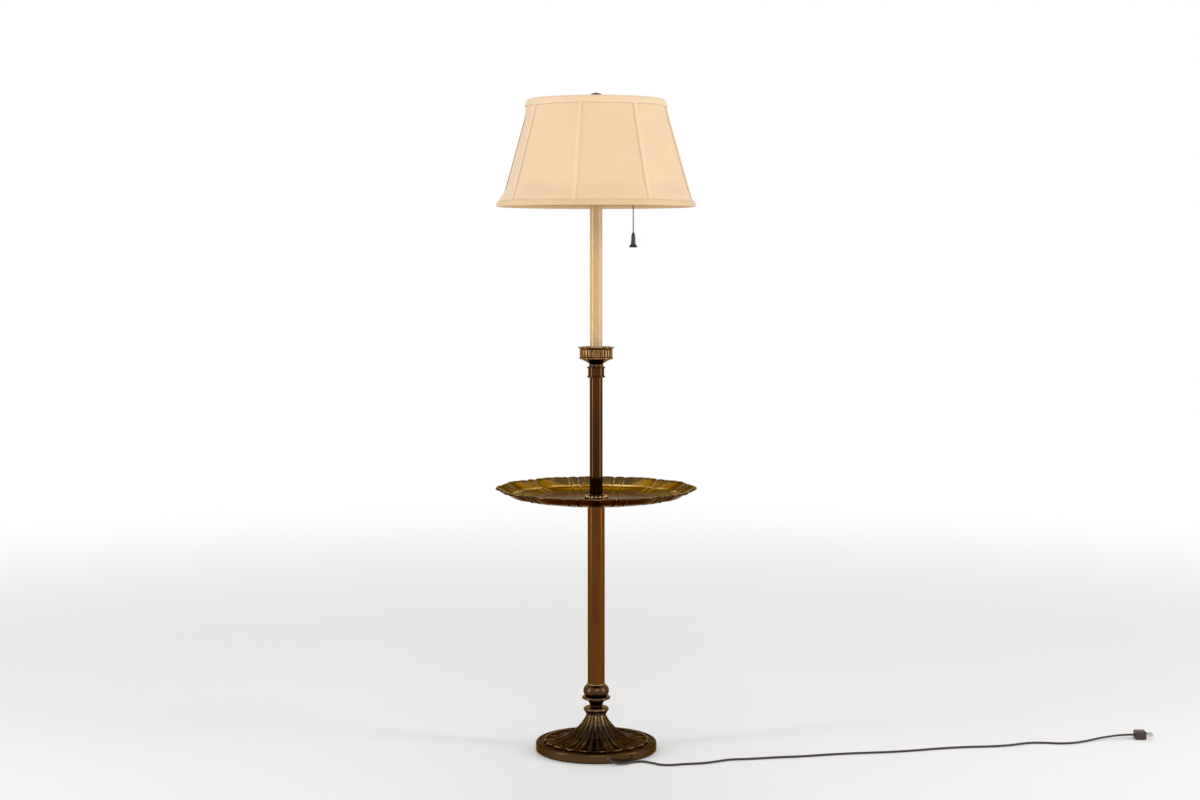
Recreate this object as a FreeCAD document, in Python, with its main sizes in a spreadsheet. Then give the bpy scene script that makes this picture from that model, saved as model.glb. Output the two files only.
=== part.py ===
# Floor lamp with a scalloped tray half way up its column, a candle tube, a two-light
# cluster and a panelled fabric shade.
# Millimetres, +Z up.  The origin is the centre of the base on the floor, the front is -Y.
# Every driving size is a cell of the "dims" sheet and every height of the stack a formula
# of the "levels" sheet, so a changed size moves whatever stands on it.
import FreeCAD
import Part
import Sketcher
import math
import os
import re

doc = FreeCAD.newDocument("floor_lamp")

# ---------------------------------------------------------------- driving dimensions
dimensions = [
    ("fit_gap", 0.1, "radial clearance of a piece that slips over or into another"),
    ("soft_gap", 0.3, "clearance between fabric and frame, and of what turns or slides"),
    # base
    ("base_diameter", 268.0, "overall diameter of the cast base"),
    ("felt_thickness", 2.0, "felt pad under the base"),
    ("felt_inset", 3.0, "felt edge inside the base edge"),
    ("rim_height", 19.0, "height of the base's upright rim"),
    ("rim_round", 5.0, "rounding of the rim's top edge"),
    ("rim_bead_inset", 8.5, "groove inside the rim's top edge"),
    ("rim_groove_depth", 1.2, "depth of that groove"),
    ("casting_wall", 5.0, "wall of the base casting"),
    ("petal_radius", 117.0, "radius at the middle of a petal's outer end"),
    ("petal_lip_height", 3.2, "raised lip round the petals"),
    ("petal_notch", 6.0, "depth of the notch between two petals"),
    ("petal_count", 20, "flutes and petals round the dish"),
    ("dish_foot_radius", 110.0, "radius where the dish is level"),
    ("dish_sweep_radius", 97.0, "radius of the hollow curve of the dish"),
    ("dish_neck_radius", 21.0, "radius at the top of the dish"),
    ("flute_depth_neck", 1.3, "flute depth at the neck"),
    ("flute_depth_foot", 4.2, "flute depth at the petals"),
    ("ridge_share", 0.9, "share of the pitch that a flute takes"),
    ("ridge_bearing", -3.0, "bearing of one ridge, degrees right of the front"),
    ("boss_height", 26.0, "underside of the boss above the casting's foot"),
    ("boss_radius", 16.0, "boss round the centre pipe"),
    ("cavity_height", 11.5, "height of the outer cavity under the dish"),
    ("cavity_shoulder_radius", 90.0, "where the cavity starts to rise with the dish"),
    ("cavity_core_radius", 32.0, "where the cavity stops rising with the dish"),
    ("weight_outer_radius", 110.0, "cast iron weight"),
    ("weight_inner_radius", 30.0, "hole in the weight"),
    ("weight_thickness", 10.0, "thickness of the weight"),
    ("cord_slot_width", 9.0, "slot in the weight for the cord"),
    ("cord_hole_height", 10.0, "height of the cord hole above the floor"),
    ("cord_hole_bearing", 11.5, "bearing of the cord hole, degrees right of the front"),
    ("bushing_radius", 4.5, "sleeve of the cord bushing"),
    ("bushing_flange_radius", 6.2, "flange of the cord bushing"),
    ("bushing_flange_thickness", 1.6, "flange thickness"),
    # centre pipe and its hardware
    ("pipe_radius", 5.1, "outside radius of the threaded centre pipe"),
    ("pipe_bore_radius", 3.4, "bore of the centre pipe"),
    ("pipe_joint_level", 700.0, "where the two lengths of centre pipe meet"),
    ("coupling_radius", 7.4, "pipe coupling"),
    ("coupling_length", 24.0, "pipe coupling"),
    ("base_washer_radius", 14.0, "washer under the base boss"),
    ("base_washer_thickness", 2.0, "washer under the base boss"),
    ("locknut_across_flats", 17.0, "hexagon nut on the centre pipe"),
    ("locknut_thickness", 6.0, "hexagon nut on the centre pipe"),
    # turned spindle, ball and seat ring over the base
    ("beaded_ring_radius", 27.2, "ring at the foot of the spindle"),
    ("beaded_ring_height", 16.0, "ring at the foot of the spindle"),
    ("bead_foot_radius", 19.0, "foot under that ring, which the beads go round"),
    ("bead_foot_height", 5.6, "foot under that ring, which the beads go round"),
    ("spindle_neck_radius", 13.6, "narrowest part of the spindle"),
    ("spindle_neck_height", 4.0, "straight neck of the spindle"),
    ("spindle_cup_radius", 26.0, "flared cup under the flange"),
    ("spindle_cup_height", 14.0, "height of the flared cup"),
    ("flange_radius", 31.5, "bead flange on top of the spindle"),
    ("flange_thickness", 6.0, "bead flange on top of the spindle"),
    ("ball_radius", 28.6, "flattened ball over the flange"),
    ("ball_seat_radius", 22.0, "flat ends of the ball"),
    ("ball_height", 25.0, "flattened ball over the flange"),
    ("seat_ring_radius", 20.6, "ring under the lower tube"),
    ("seat_ring_height", 4.0, "ring under the lower tube"),
    # lower column and tray
    ("lower_tube_radius", 19.05, "lower column tube"),
    ("lower_tube_wall", 1.2, "lower column tube"),
    ("lower_tube_length", 404.0, "lower column tube"),
    ("spigot_length", 8.0, "spigots that centre the tubes"),
    ("tray_flange_radius", 32.0, "support flange under the tray"),
    ("tray_flange_edge", 2.0, "edge of the support flange"),
    ("tray_flange_height", 6.0, "support flange under the tray"),
    ("tray_radius", 222.0, "tray radius at the middle of a wide lobe"),
    ("tray_crease_radius", 213.0, "tray radius at a crease"),
    ("tray_small_lobe_radius", 217.0, "tray radius at the middle of a small lobe"),
    ("tray_ledge_radius", 192.0, "radius where the tray's foot turns up into its wall"),
    ("tray_floor_radius", 146.0, "flat floor of the tray"),
    ("tray_height", 26.0, "rim of the tray above its floor"),
    ("tray_ledge_height", 8.5, "ledge of the tray above its floor"),
    ("tray_lip_drop", 4.0, "rolled lip at the tray's rim"),
    ("tray_thickness", 1.6, "sheet of the tray"),
    ("tray_lobe_count", 12, "wide lobes round the tray"),
    ("small_lobe_angle", 6.6, "angle that a small lobe spans, degrees"),
    # upper column
    ("tray_ring_radius", 27.0, "beaded ring round the column on the tray"),
    ("tray_ring_height", 9.5, "hub of the beaded ring"),
    ("tray_ring_plate", 3.0, "plate of the beaded ring"),
    ("upper_tube_radius", 14.3, "upper column tube"),
    ("upper_tube_wall", 1.2, "upper column tube"),
    ("upper_tube_length", 264.0, "upper column tube"),
    ("collar_radius", 17.75, "collar over the upper tube"),
    ("collar_ring_radius", 19.9, "rings at the collar's two ends"),
    ("collar_ring_height", 4.4, "rings at the collar's two ends"),
    ("collar_height", 24.0, "collar over the upper tube"),
    # candle cup and candle tube
    ("cup_neck_radius", 15.9, "neck of the candle cup"),
    ("cup_neck_height", 6.5, "neck of the candle cup"),
    ("cup_cone_height", 11.5, "cone of the candle cup"),
    ("cup_radius", 37.6, "reeded wall of the candle cup"),
    ("cup_wall_height", 22.0, "reeded wall of the candle cup"),
    ("cup_rim_radius", 41.0, "rim of the candle cup"),
    ("cup_rim_thickness", 3.0, "rim of the candle cup"),
    ("cup_wall", 3.0, "wall of the candle cup"),
    ("cup_flute_count", 24, "flutes round the candle cup"),
    ("cup_flute_radius", 3.9, "radius of one flute of the cup"),
    ("candle_tube_radius", 13.9, "painted candle tube"),
    ("candle_tube_wall", 1.0, "painted candle tube"),
    ("candle_tube_length", 352.0, "painted candle tube"),
    ("candle_cap_thickness", 4.0, "cap on the candle tube"),
    # cluster and its arms
    ("cluster_neck_radius", 9.5, "neck of the cluster body"),
    ("cluster_neck_height", 14.0, "neck of the cluster body"),
    ("cluster_radius", 20.0, "cluster body"),
    ("cluster_height", 50.0, "cluster body"),
    ("cluster_wall", 3.0, "wall of the cluster body"),
    ("arm_level", 32.0, "arm axis above the foot of the cluster"),
    ("arm_reach", 61.0, "end of an arm from the lamp's axis"),
    ("socket_start", 55.0, "foot of a socket cap from the lamp's axis"),
    ("socket_cap_radius", 17.2, "socket cap"),
    ("socket_cap_length", 18.0, "socket cap"),
    ("socket_skin", 0.8, "sheet of the socket cap and shell"),
    ("socket_length", 58.0, "socket from cap to mouth"),
    ("chain_offset", 26.0, "chain from the foot of the socket cap"),
    ("screw_shell_length", 21.0, "screw shell inside the socket"),
    ("bulb_base_radius", 13.1, "screw base of the bulb"),
    ("bulb_radius", 24.0, "glass of the bulb"),
    ("bulb_length", 84.0, "bulb from its contact to its tip"),
    ("bulb_glass_wall", 0.8, "glass of the bulb"),
    # pull chains
    ("spout_radius", 3.6, "spout that the chain comes out of"),
    ("spout_bore_radius", 1.9, "bore of the spout"),
    ("spout_mouth_radius", 5.2, "flared mouth of the spout"),
    ("spout_length", 8.0, "spout below the socket shell"),
    ("bead_radius", 1.5, "pivot bead of a pull chain"),
    ("link_radius", 0.9, "hanging part of a pull chain"),
    ("switch_chain_length", 12.0, "chain between its spout and its switch"),
    ("pull_travel", 8.0, "how far a chain is pulled"),
    ("right_chain_length", 99.0, "right chain below its spout"),
    ("left_chain_length", 27.0, "left chain below its spout"),
    ("end_ball_radius", 3.0, "ball on the end of the left chain"),
    ("bell_height", 33.0, "bell pull"),
    ("bell_foot_radius", 9.5, "flared foot of the bell pull"),
    ("bell_body_radius", 5.3, "body of the bell pull"),
    ("bell_top_radius", 4.2, "rounded top of the bell pull"),
    ("bell_flare_height", 5.5, "foot of the bell pull"),
    # riser, shade and finial
    ("riser_radius", 4.8, "riser between cluster and shade"),
    ("riser_length", 137.0, "riser between cluster and shade"),
    ("stud_radius", 3.1, "stud that the finial screws on"),
    ("stud_length", 18.0, "stud that the finial screws on"),
    ("rest_radius", 12.0, "disc that the shade rests on"),
    ("rest_thickness", 2.5, "disc that the shade rests on"),
    ("spider_rise", 12.2, "top edge of the shade above the spider's hub"),
    ("shade_height", 230.0, "height of the shade"),
    ("shade_top_radius", 149.0, "fabric radius at the top ring"),
    ("shade_bottom_radius", 215.5, "fabric radius at the bottom ring"),
    ("shade_panel_count", 8, "panels of the shade"),
    ("shade_turned", 32.3, "bearing of one rib, degrees right of the front"),
    ("panel_flatness", 0.85, "0 is a round panel, 1 a flat one"),
    ("panel_ease_height", 38.0, "height in which a panel turns from round to flat"),
    ("fabric_thickness", 1.2, "outer fabric of the shade"),
    ("lining_thickness", 0.8, "lining of the shade"),
    ("trim_height", 12.5, "trim bands at the shade's edges"),
    ("trim_thickness", 3.4, "trim bands at the shade's edges"),
    ("rib_trim_width", 9.0, "trim strips over the ribs"),
    ("rib_trim_thickness", 1.0, "trim strips over the ribs"),
    ("ring_wire_radius", 1.6, "wire of the shade's rings"),
    ("rib_wire_radius", 1.2, "wire of the shade's ribs"),
    ("spider_arm_radius", 1.6, "arms of the shade's spider"),
    ("spider_arm_count", 3, "arms of the shade's spider"),
    ("spider_bearing", 60.0, "bearing of one spider arm, degrees right of the front"),
    ("spider_hub_radius", 12.0, "washer in the middle of the spider"),
    ("spider_hub_thickness", 1.6, "washer in the middle of the spider"),
    ("finial_radius", 11.5, "knob of the finial"),
    ("finial_height", 26.5, "finial"),
    ("finial_stem_radius", 6.0, "stem of the finial"),
    # cord and plug
    ("cord_radius", 2.3, "supply cord"),
    ("cord_turn_radius", 10.0, "turn of the cord under the centre pipe"),
    ("plug_length", 25.0, "plug body"),
    ("plug_width", 25.0, "plug body"),
    ("plug_height", 19.0, "plug body"),
    ("plug_round", 3.0, "rounded edges of the plug"),
    ("blade_length", 16.0, "plug blades"),
    ("blade_width", 6.3, "plug blades"),
    ("blade_thickness", 1.5, "plug blades"),
    ("blade_spacing", 12.7, "plug blades"),
]

stack = [
    ("casting_level", "felt_thickness"),
    ("dish_floor", "rim_height + 1"),
    ("dish_centre_height", "dish_floor + dish_sweep_radius"),
    ("dish_top", "dish_centre_height - sqrt(dish_sweep_radius ^ 2"
                 " - (dish_foot_radius - dish_neck_radius) ^ 2)"),
    ("boss_level", "casting_level + boss_height"),
    ("spindle_level", "casting_level + dish_top"),
    ("spindle_height", "beaded_ring_height + spindle_neck_height"
                       " + spindle_cup_height + flange_thickness"),
    ("ball_level", "spindle_level + spindle_height"),
    ("seat_ring_level", "ball_level + ball_height"),
    ("lower_tube_level", "seat_ring_level + seat_ring_height"),
    ("tray_flange_level", "lower_tube_level + lower_tube_length"),
    ("tray_level", "tray_flange_level + tray_flange_height"),
    ("tray_ring_level", "tray_level + tray_thickness"),
    ("upper_tube_level", "tray_ring_level + tray_ring_plate"),
    ("collar_level", "upper_tube_level + upper_tube_length"),
    ("cup_level", "collar_level + collar_height"),
    ("cup_floor_height", "cup_neck_height + cup_cone_height + cup_wall"),
    ("cup_height", "cup_neck_height + cup_cone_height + cup_wall_height + cup_rim_thickness"),
    ("candle_tube_level", "cup_level + cup_floor_height"),
    ("candle_cap_level", "candle_tube_level + candle_tube_length"),
    ("cluster_level", "candle_cap_level + candle_cap_thickness"),
    ("socket_level", "cluster_level + arm_level"),
    ("pipe_foot_level", "boss_level - base_washer_thickness - locknut_thickness - 0.5"),
    ("pipe_top_level", "cluster_level + cluster_neck_height - 2"),
    ("shell_radius", "socket_cap_radius - socket_skin - fit_gap"),
    ("shell_underside", "socket_level - shell_radius"),
    ("pivot_level", "shell_underside - spout_length + bead_radius + 1"),
    ("chain_reach", "socket_start + chain_offset"),
    ("riser_level", "cluster_level + cluster_height"),
    ("rest_level", "riser_level + riser_length"),
    ("hub_level", "rest_level + rest_thickness + soft_gap"),
    ("finial_level", "hub_level + spider_hub_thickness + soft_gap"),
    ("shade_top_level", "hub_level + spider_rise"),
    ("shade_base_level", "shade_top_level - shade_height"),
    ("shade_slope", "(shade_bottom_radius - shade_top_radius) / shade_height"),
]


dim_names = {row[0] for row in dimensions}
level_names = {row[0] for row in stack}


def scoped(formula):
    """Put the sheet's name before every size that a formula names."""
    def full_name(match):
        word = match.group(0)
        if word in dim_names:
            return "dims." + word
        if word in level_names:
            return "levels." + word
        return word
    return re.sub(r"[A-Za-z_][A-Za-z_0-9]*", full_name, formula)


def make_sheet(label, rows):
    """Sheet of (alias, cell, note) rows."""
    sheet = doc.addObject("Spreadsheet::Sheet", label)
    sheet.Label = label
    for index, (alias, cell, note) in enumerate(rows):
        row = str(index + 1)
        sheet.set("A" + row, alias)
        sheet.set("B" + row, str(cell))
        sheet.setAlias("B" + row, alias)
        sheet.set("C" + row, note)
    doc.recompute()
    return sheet


dims = make_sheet("dims", dimensions)
formulas = [(alias, "=" + scoped(text).replace("levels.", ""), "") for alias, text in stack]
levels = make_sheet("levels", formulas)


def size(formula):
    """Value of a formula of the two sheets' names."""
    result = dims.evalExpression(scoped(formula))
    return float(getattr(result, "Value", result))


# ---------------------------------------------------------------- sketch and body helpers
def new_body(label):
    body = doc.addObject("PartDesign::Body", label)
    body.Label = label
    return body


def origin_feature(body, role):
    return [item for item in body.Origin.OriginFeatures if item.Role == role][0]


def new_sketch(body, name, plane="XZ_Plane", offset=None):
    sketch = body.newObject("Sketcher::SketchObject", name)
    sketch.AttachmentSupport = (origin_feature(body, plane), [""])
    sketch.MapMode = "FlatFace"
    if offset is not None:
        sketch.AttachmentOffset = offset
    return sketch


def pin_point(sketch, geometry, position, along, up):
    """Tie one end of a sketch edge to two formulas."""
    for kind, formula in (("DistanceX", along), ("DistanceY", up)):
        number = sketch.addConstraint(Sketcher.Constraint(kind, -1, 1, geometry, position, size(formula)))
        sketch.setExpression("Constraints[" + str(number) + "]", scoped(formula))


def arc_through(start, end, radius):
    """Arc from start to end: a positive radius turns left, a negative one right."""
    chord = end - start
    half = chord.Length / 2
    rise = math.sqrt(max(radius * radius - half * half, 0.0))
    normal = FreeCAD.Vector(-chord.y, chord.x, 0) / chord.Length
    side = 1 if radius > 0 else -1
    centre = (start + end) / 2 + normal * rise * side
    middle = centre - normal * side * abs(radius)
    return Part.Arc(start, middle, end)


def closed_outline(sketch, corners):
    """Closed outline of (along, up) or (along, up, radius): a radius bends the edge to the next corner."""
    places = [FreeCAD.Vector(size(corner[0]), size(corner[1]), 0) for corner in corners]
    numbers = []
    for index, corner in enumerate(corners):
        start = places[index]
        end = places[(index + 1) % len(corners)]
        if len(corner) == 3:
            edge = arc_through(start, end, size(corner[2]))
            numbers.append(sketch.addGeometry(edge, False))
        else:
            numbers.append(sketch.addGeometry(Part.LineSegment(start, end), False))
    for index, corner in enumerate(corners):
        number = numbers[index]
        following = (index + 1) % len(corners)
        bent = len(corner) == 3
        turned = bent and size(corner[2]) < 0
        first, last = (2, 1) if turned else (1, 2)
        pin_point(sketch, number, first, corner[0], corner[1])
        pin_point(sketch, number, last, corners[following][0], corners[following][1])
        if bent:
            radius = sketch.addConstraint(Sketcher.Constraint("Radius", number, abs(size(corner[2]))))
            sketch.setExpression("Constraints[" + str(radius) + "]", scoped("abs(" + corner[2] + ")"))


def revolve_outline(body, corners, name="turning"):
    """Revolve an outline of radii and heights about the body's own Z axis."""
    sketch = new_sketch(body, name + "_outline")
    closed_outline(sketch, corners)
    turning = body.newObject("PartDesign::Revolution", name)
    turning.Profile = sketch
    turning.ReferenceAxis = (sketch, ["V_Axis"])
    turning.Angle = 360
    doc.recompute()
    return turning


def turned(label, corners, level="0", along="0"):
    """A turned piece that stands at a level of the stack."""
    body = new_body(label)
    revolve_outline(body, corners)
    stand(body, level, along)
    return body


def stand(body, level="0", along="0", across="0"):
    for axis, formula in (("x", along), ("y", across), ("z", level)):
        body.setExpression("Placement.Base." + axis, scoped(formula))
    doc.recompute()


def pattern_round(body, feature, count):
    pattern = body.newObject("PartDesign::PolarPattern", feature.Name + "_pattern")
    pattern.Originals = [feature]
    pattern.Axis = (origin_feature(body, "Z_Axis"), [""])
    pattern.Angle = 360
    pattern.Occurrences = int(size(count))
    pattern.setExpression("Occurrences", scoped(count))
    body.Tip = pattern
    doc.recompute()
    return pattern


def loft(body, sections, kind="PartDesign::AdditiveLoft", ruled=True, name="loft"):
    feature = body.newObject(kind, name)
    feature.Profile = sections[0]
    feature.Sections = sections[1:]
    feature.Ruled = ruled
    doc.recompute()
    return feature


def circle_sketch(body, name, along, up, radius, plane="YZ_Plane", offset=None):
    sketch = new_sketch(body, name, plane, offset)
    centre = FreeCAD.Vector(size(along), size(up), 0)
    number = sketch.addGeometry(Part.Circle(centre, FreeCAD.Vector(0, 0, 1), size(radius)), False)
    pin_point(sketch, number, 3, along, up)
    datum = sketch.addConstraint(Sketcher.Constraint("Radius", number, size(radius)))
    sketch.setExpression("Constraints[" + str(datum) + "]", scoped(radius))
    return sketch


def bore_inward(body, name, start, depth, along, up, radius, plane="YZ_Plane"):
    """Round hole cut from a plane at a distance, back towards the origin."""
    offset = FreeCAD.Placement(FreeCAD.Vector(0, 0, size(start)), FreeCAD.Rotation())
    sketch = circle_sketch(body, name + "_outline", along, up, radius, plane, offset)
    sketch.setExpression("AttachmentOffset.Base.z", scoped(start))
    hole = body.newObject("PartDesign::Pocket", name)
    hole.Profile = sketch
    hole.setExpression("Length", scoped(depth))
    doc.recompute()
    return hole


def cylinder(label, radius, height, level):
    piece = doc.addObject("Part::Cylinder", label)
    piece.Label = label
    piece.setExpression("Radius", scoped(radius))
    piece.setExpression("Height", scoped(height))
    piece.setExpression("Placement.Base.z", scoped(level))
    doc.recompute()
    return piece


def tube(label, radius, wall, length, level):
    return turned(label, [(radius + " - " + wall, "0"), (radius, "0"), (radius, length),
                          (radius + " - " + wall, length)], level)


def face_front(body, bearing):
    """Turn a body so that its own +X points at a bearing right of the front."""
    body.setExpression("Placement.Rotation.Angle", scoped(bearing + " - 90"))
    doc.recompute()


bore = "pipe_radius + fit_gap"

# ---------------------------------------------------------------- base


def base_casting():
    """Hollow casting: upright rim, petals with a raised lip, and a fluted dish that rises to the neck."""
    edge = "base_diameter / 2"
    groove = "rim_height - rim_groove_depth"
    inner_sweep = "dish_sweep_radius + casting_wall + 2"
    lip = "rim_height + petal_lip_height"

    def cavity(radius):
        return "dish_centre_height - sqrt((" + inner_sweep + ") ^ 2 - (dish_foot_radius - " + radius + ") ^ 2)"

    body = new_body("base_casting")
    revolve_outline(body, [
        (edge + " - casting_wall", "0"),
        (edge + " - 1", "0"),
        (edge, "1"),
        (edge, "rim_height - rim_round", "rim_round"),
        (edge + " - rim_round", "rim_height"),
        (edge + " - rim_bead_inset", "rim_height"),
        (edge + " - rim_bead_inset", groove),
        (edge + " - rim_bead_inset - 2.5", groove),
        (edge + " - rim_bead_inset - 2.5", "rim_height"),
        ("petal_radius + 0.5", "rim_height"),
        ("petal_radius", lip + " - 1.2", "1.2"),
        ("petal_radius - 1.2", lip),
        ("dish_foot_radius + 3", lip),
        ("dish_foot_radius", "dish_floor", "-dish_sweep_radius"),
        ("dish_neck_radius", "dish_top"),
        (bore, "dish_top"),
        (bore, "boss_height"),
        ("boss_radius", "boss_height"),
        ("boss_radius", cavity("cavity_core_radius")),
        ("cavity_core_radius", cavity("cavity_core_radius"), inner_sweep),
        ("cavity_shoulder_radius", cavity("cavity_shoulder_radius")),
        (edge + " - casting_wall", "cavity_height"),
    ])
    ridge = size("ridge_bearing - cord_hole_bearing")
    petal_notches(body, ridge)
    dish_flutes(body, ridge + 180 / size("petal_count"))
    bore_inward(body, "cord_hole", edge + " + 1", "casting_wall + 3",
                "0", "cord_hole_height - casting_level", "bushing_radius + fit_gap")
    stand(body, "casting_level")
    face_front(body, "cord_hole_bearing")
    return body


def petal_notches(body, ridge):
    """Notches between the petals' rounded outer ends, cut down to the rim's flat."""
    half_pitch = 0.94 * 180 / size("petal_count")
    outer = size("petal_radius")
    plane = FreeCAD.Placement(FreeCAD.Vector(0, 0, size("rim_height")),
                              FreeCAD.Rotation(FreeCAD.Vector(0, 0, 1), ridge))
    sketch = new_sketch(body, "petal_notch_outline", "XY_Plane", plane)

    def at(angle, radius):
        turn = math.radians(angle)
        return FreeCAD.Vector(radius * math.cos(turn), radius * math.sin(turn), 0)

    root = at(0, outer - size("petal_notch"))
    for side in (-1, 1):
        tip = at(side * half_pitch, outer)
        shoulder = at(side * half_pitch * 0.45, outer - size("petal_notch") * 0.28)
        sketch.addGeometry(Part.Arc(root, shoulder, tip), False)
        sketch.addGeometry(Part.LineSegment(tip, at(side * half_pitch, outer + 2)), False)
    sketch.addGeometry(Part.LineSegment(at(-half_pitch, outer + 2), at(half_pitch, outer + 2)), False)
    notch = body.newObject("PartDesign::Pocket", "petal_notch_cut")
    notch.Profile = sketch
    notch.Reversed = True
    notch.setExpression("Length", scoped("petal_lip_height + 2"))
    doc.recompute()
    pattern_round(body, notch, "petal_count")


def dish_flutes(body, bearing):
    """Hollow flutes, narrow at the neck and spoon-ended in the petals, that leave sharp ridges between them."""
    sweep = size("dish_sweep_radius")
    count = size("petal_count")
    centre_radius = size("dish_foot_radius")
    centre_height = size("dish_centre_height")
    neck_angle = math.degrees(math.asin((centre_radius - size("dish_neck_radius")) / sweep))
    depth_foot = size("flute_depth_foot")
    depth_neck = size("flute_depth_neck")
    around = FreeCAD.Rotation(FreeCAD.Vector(0, 0, 1), bearing)
    stations = [(-1.2, 0.5), (2.0, 0.92), (12.0, 1.0), (34.0, 1.0), (neck_angle - 14.0, 1.0),
                (neck_angle + 5.0, 1.0)]
    cover = size("petal_lip_height") + 2.0
    sections = []
    for index, (angle, share) in enumerate(stations):
        turn = math.radians(angle)
        radius = centre_radius - sweep * math.sin(turn)
        height = centre_height - sweep * math.cos(turn)
        width = share * size("ridge_share") * radius * math.sin(math.pi / count)
        travel = min(max(angle / neck_angle, 0.0), 1.0)
        depth = share * share * (depth_foot + (depth_neck - depth_foot) * travel)
        flute_radius = (width * width + depth * depth) / (2 * depth)
        spread = math.sqrt(flute_radius ** 2 - max(flute_radius - depth - cover, 0.0) ** 2)
        inward = FreeCAD.Vector(math.sin(turn), 0, math.cos(turn))
        sideways = FreeCAD.Vector(0, 1, 0)
        axes = FreeCAD.Rotation(around.multVec(sideways), around.multVec(inward), FreeCAD.Vector(), "XYZ")
        place = FreeCAD.Placement(around.multVec(FreeCAD.Vector(radius, 0, height)), axes)
        sketch = new_sketch(body, "flute_section_" + str(index), "XY_Plane", place)
        left = FreeCAD.Vector(-spread, cover, 0)
        right = FreeCAD.Vector(spread, cover, 0)
        sketch.addGeometry(Part.Arc(left, FreeCAD.Vector(0, -depth, 0), right), False)
        sketch.addGeometry(Part.LineSegment(right, left), False)
        sections.append(sketch)
    flute = loft(body, sections, "PartDesign::SubtractiveLoft", True, "flute")
    pattern_round(body, flute, "petal_count")


def base_weight():
    """Cast iron ring in the base, with a slot that the cord runs in."""
    body = new_body("base_weight")
    revolve_outline(body, [("weight_inner_radius", "0"), ("weight_outer_radius", "0"),
                           ("weight_outer_radius", "weight_thickness"),
                           ("weight_inner_radius", "weight_thickness")])
    slot_outline = new_sketch(body, "cord_slot_outline", "YZ_Plane",
                              FreeCAD.Placement(FreeCAD.Vector(0, 0, size("weight_outer_radius + 1")),
                                                FreeCAD.Rotation()))
    closed_outline(slot_outline, [("-cord_slot_width / 2", "-1"), ("cord_slot_width / 2", "-1"),
                                  ("cord_slot_width / 2", "weight_thickness + 1"),
                                  ("-cord_slot_width / 2", "weight_thickness + 1")])
    slot = body.newObject("PartDesign::Pocket", "cord_slot")
    slot.Profile = slot_outline
    slot.setExpression("Length", scoped("weight_outer_radius + 1"))
    stand(body, "felt_thickness")
    face_front(body, "cord_hole_bearing")
    return body


def locknut():
    """Hexagon nut under the base, on the foot of the centre pipe."""
    body = new_body("base_locknut")
    sketch = new_sketch(body, "hexagon", "XY_Plane")
    corner = size("locknut_across_flats") / math.sqrt(3)
    places = [FreeCAD.Vector(corner * math.cos(math.radians(60 * turn)),
                             corner * math.sin(math.radians(60 * turn)), 0) for turn in range(6)]
    for index, place in enumerate(places):
        sketch.addGeometry(Part.LineSegment(place, places[(index + 1) % 6]), False)
    hexagon = body.newObject("PartDesign::Pad", "hexagon_pad")
    hexagon.Profile = sketch
    hexagon.setExpression("Length", scoped("locknut_thickness"))
    doc.recompute()
    bore_inward(body, "thread", "locknut_thickness + 1", "locknut_thickness + 2", "0", "0", bore, "XY_Plane")
    stand(body, "boss_level - base_washer_thickness - locknut_thickness")
    return body


def cord_bushing():
    """Flanged bushing in the base's rim, along its own +X."""
    body = new_body("cord_bushing")
    revolve_outline(body, [("cord_radius + soft_gap", "0"), ("bushing_radius", "0"),
                           ("bushing_radius", "casting_wall + 1"),
                           ("bushing_flange_radius", "casting_wall + 1"),
                           ("bushing_flange_radius - 0.8", "casting_wall + 1 + bushing_flange_thickness"),
                           ("cord_radius + soft_gap", "casting_wall + 1 + bushing_flange_thickness")])
    bearing = math.radians(size("cord_hole_bearing"))
    outward = FreeCAD.Vector(math.sin(bearing), -math.cos(bearing), 0)
    start = outward * (size("base_diameter / 2 - casting_wall") - 1)
    body.Placement = FreeCAD.Placement(start + FreeCAD.Vector(0, 0, size("cord_hole_height")),
                                       FreeCAD.Rotation(FreeCAD.Vector(0, 0, 1), outward))
    doc.recompute()
    return body


cylinder("base_felt", "base_diameter / 2 - felt_inset", "felt_thickness", "0")
base_casting()
base_weight()
turned("base_washer", [(bore, "0"), ("base_washer_radius", "0"),
                       ("base_washer_radius", "base_washer_thickness"),
                       (bore, "base_washer_thickness")], "boss_level - base_washer_thickness")
locknut()
cord_bushing()
tube("lower_pipe", "pipe_radius", "(pipe_radius - pipe_bore_radius)",
     "pipe_joint_level - pipe_foot_level", "pipe_foot_level")
tube("upper_pipe", "pipe_radius", "(pipe_radius - pipe_bore_radius)",
     "pipe_top_level - pipe_joint_level", "pipe_joint_level")
turned("pipe_coupling", [(bore, "0"), ("coupling_radius", "0"), ("coupling_radius", "coupling_length"),
                         (bore, "coupling_length")], "pipe_joint_level - coupling_length / 2")


# ---------------------------------------------------------------- column


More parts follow.
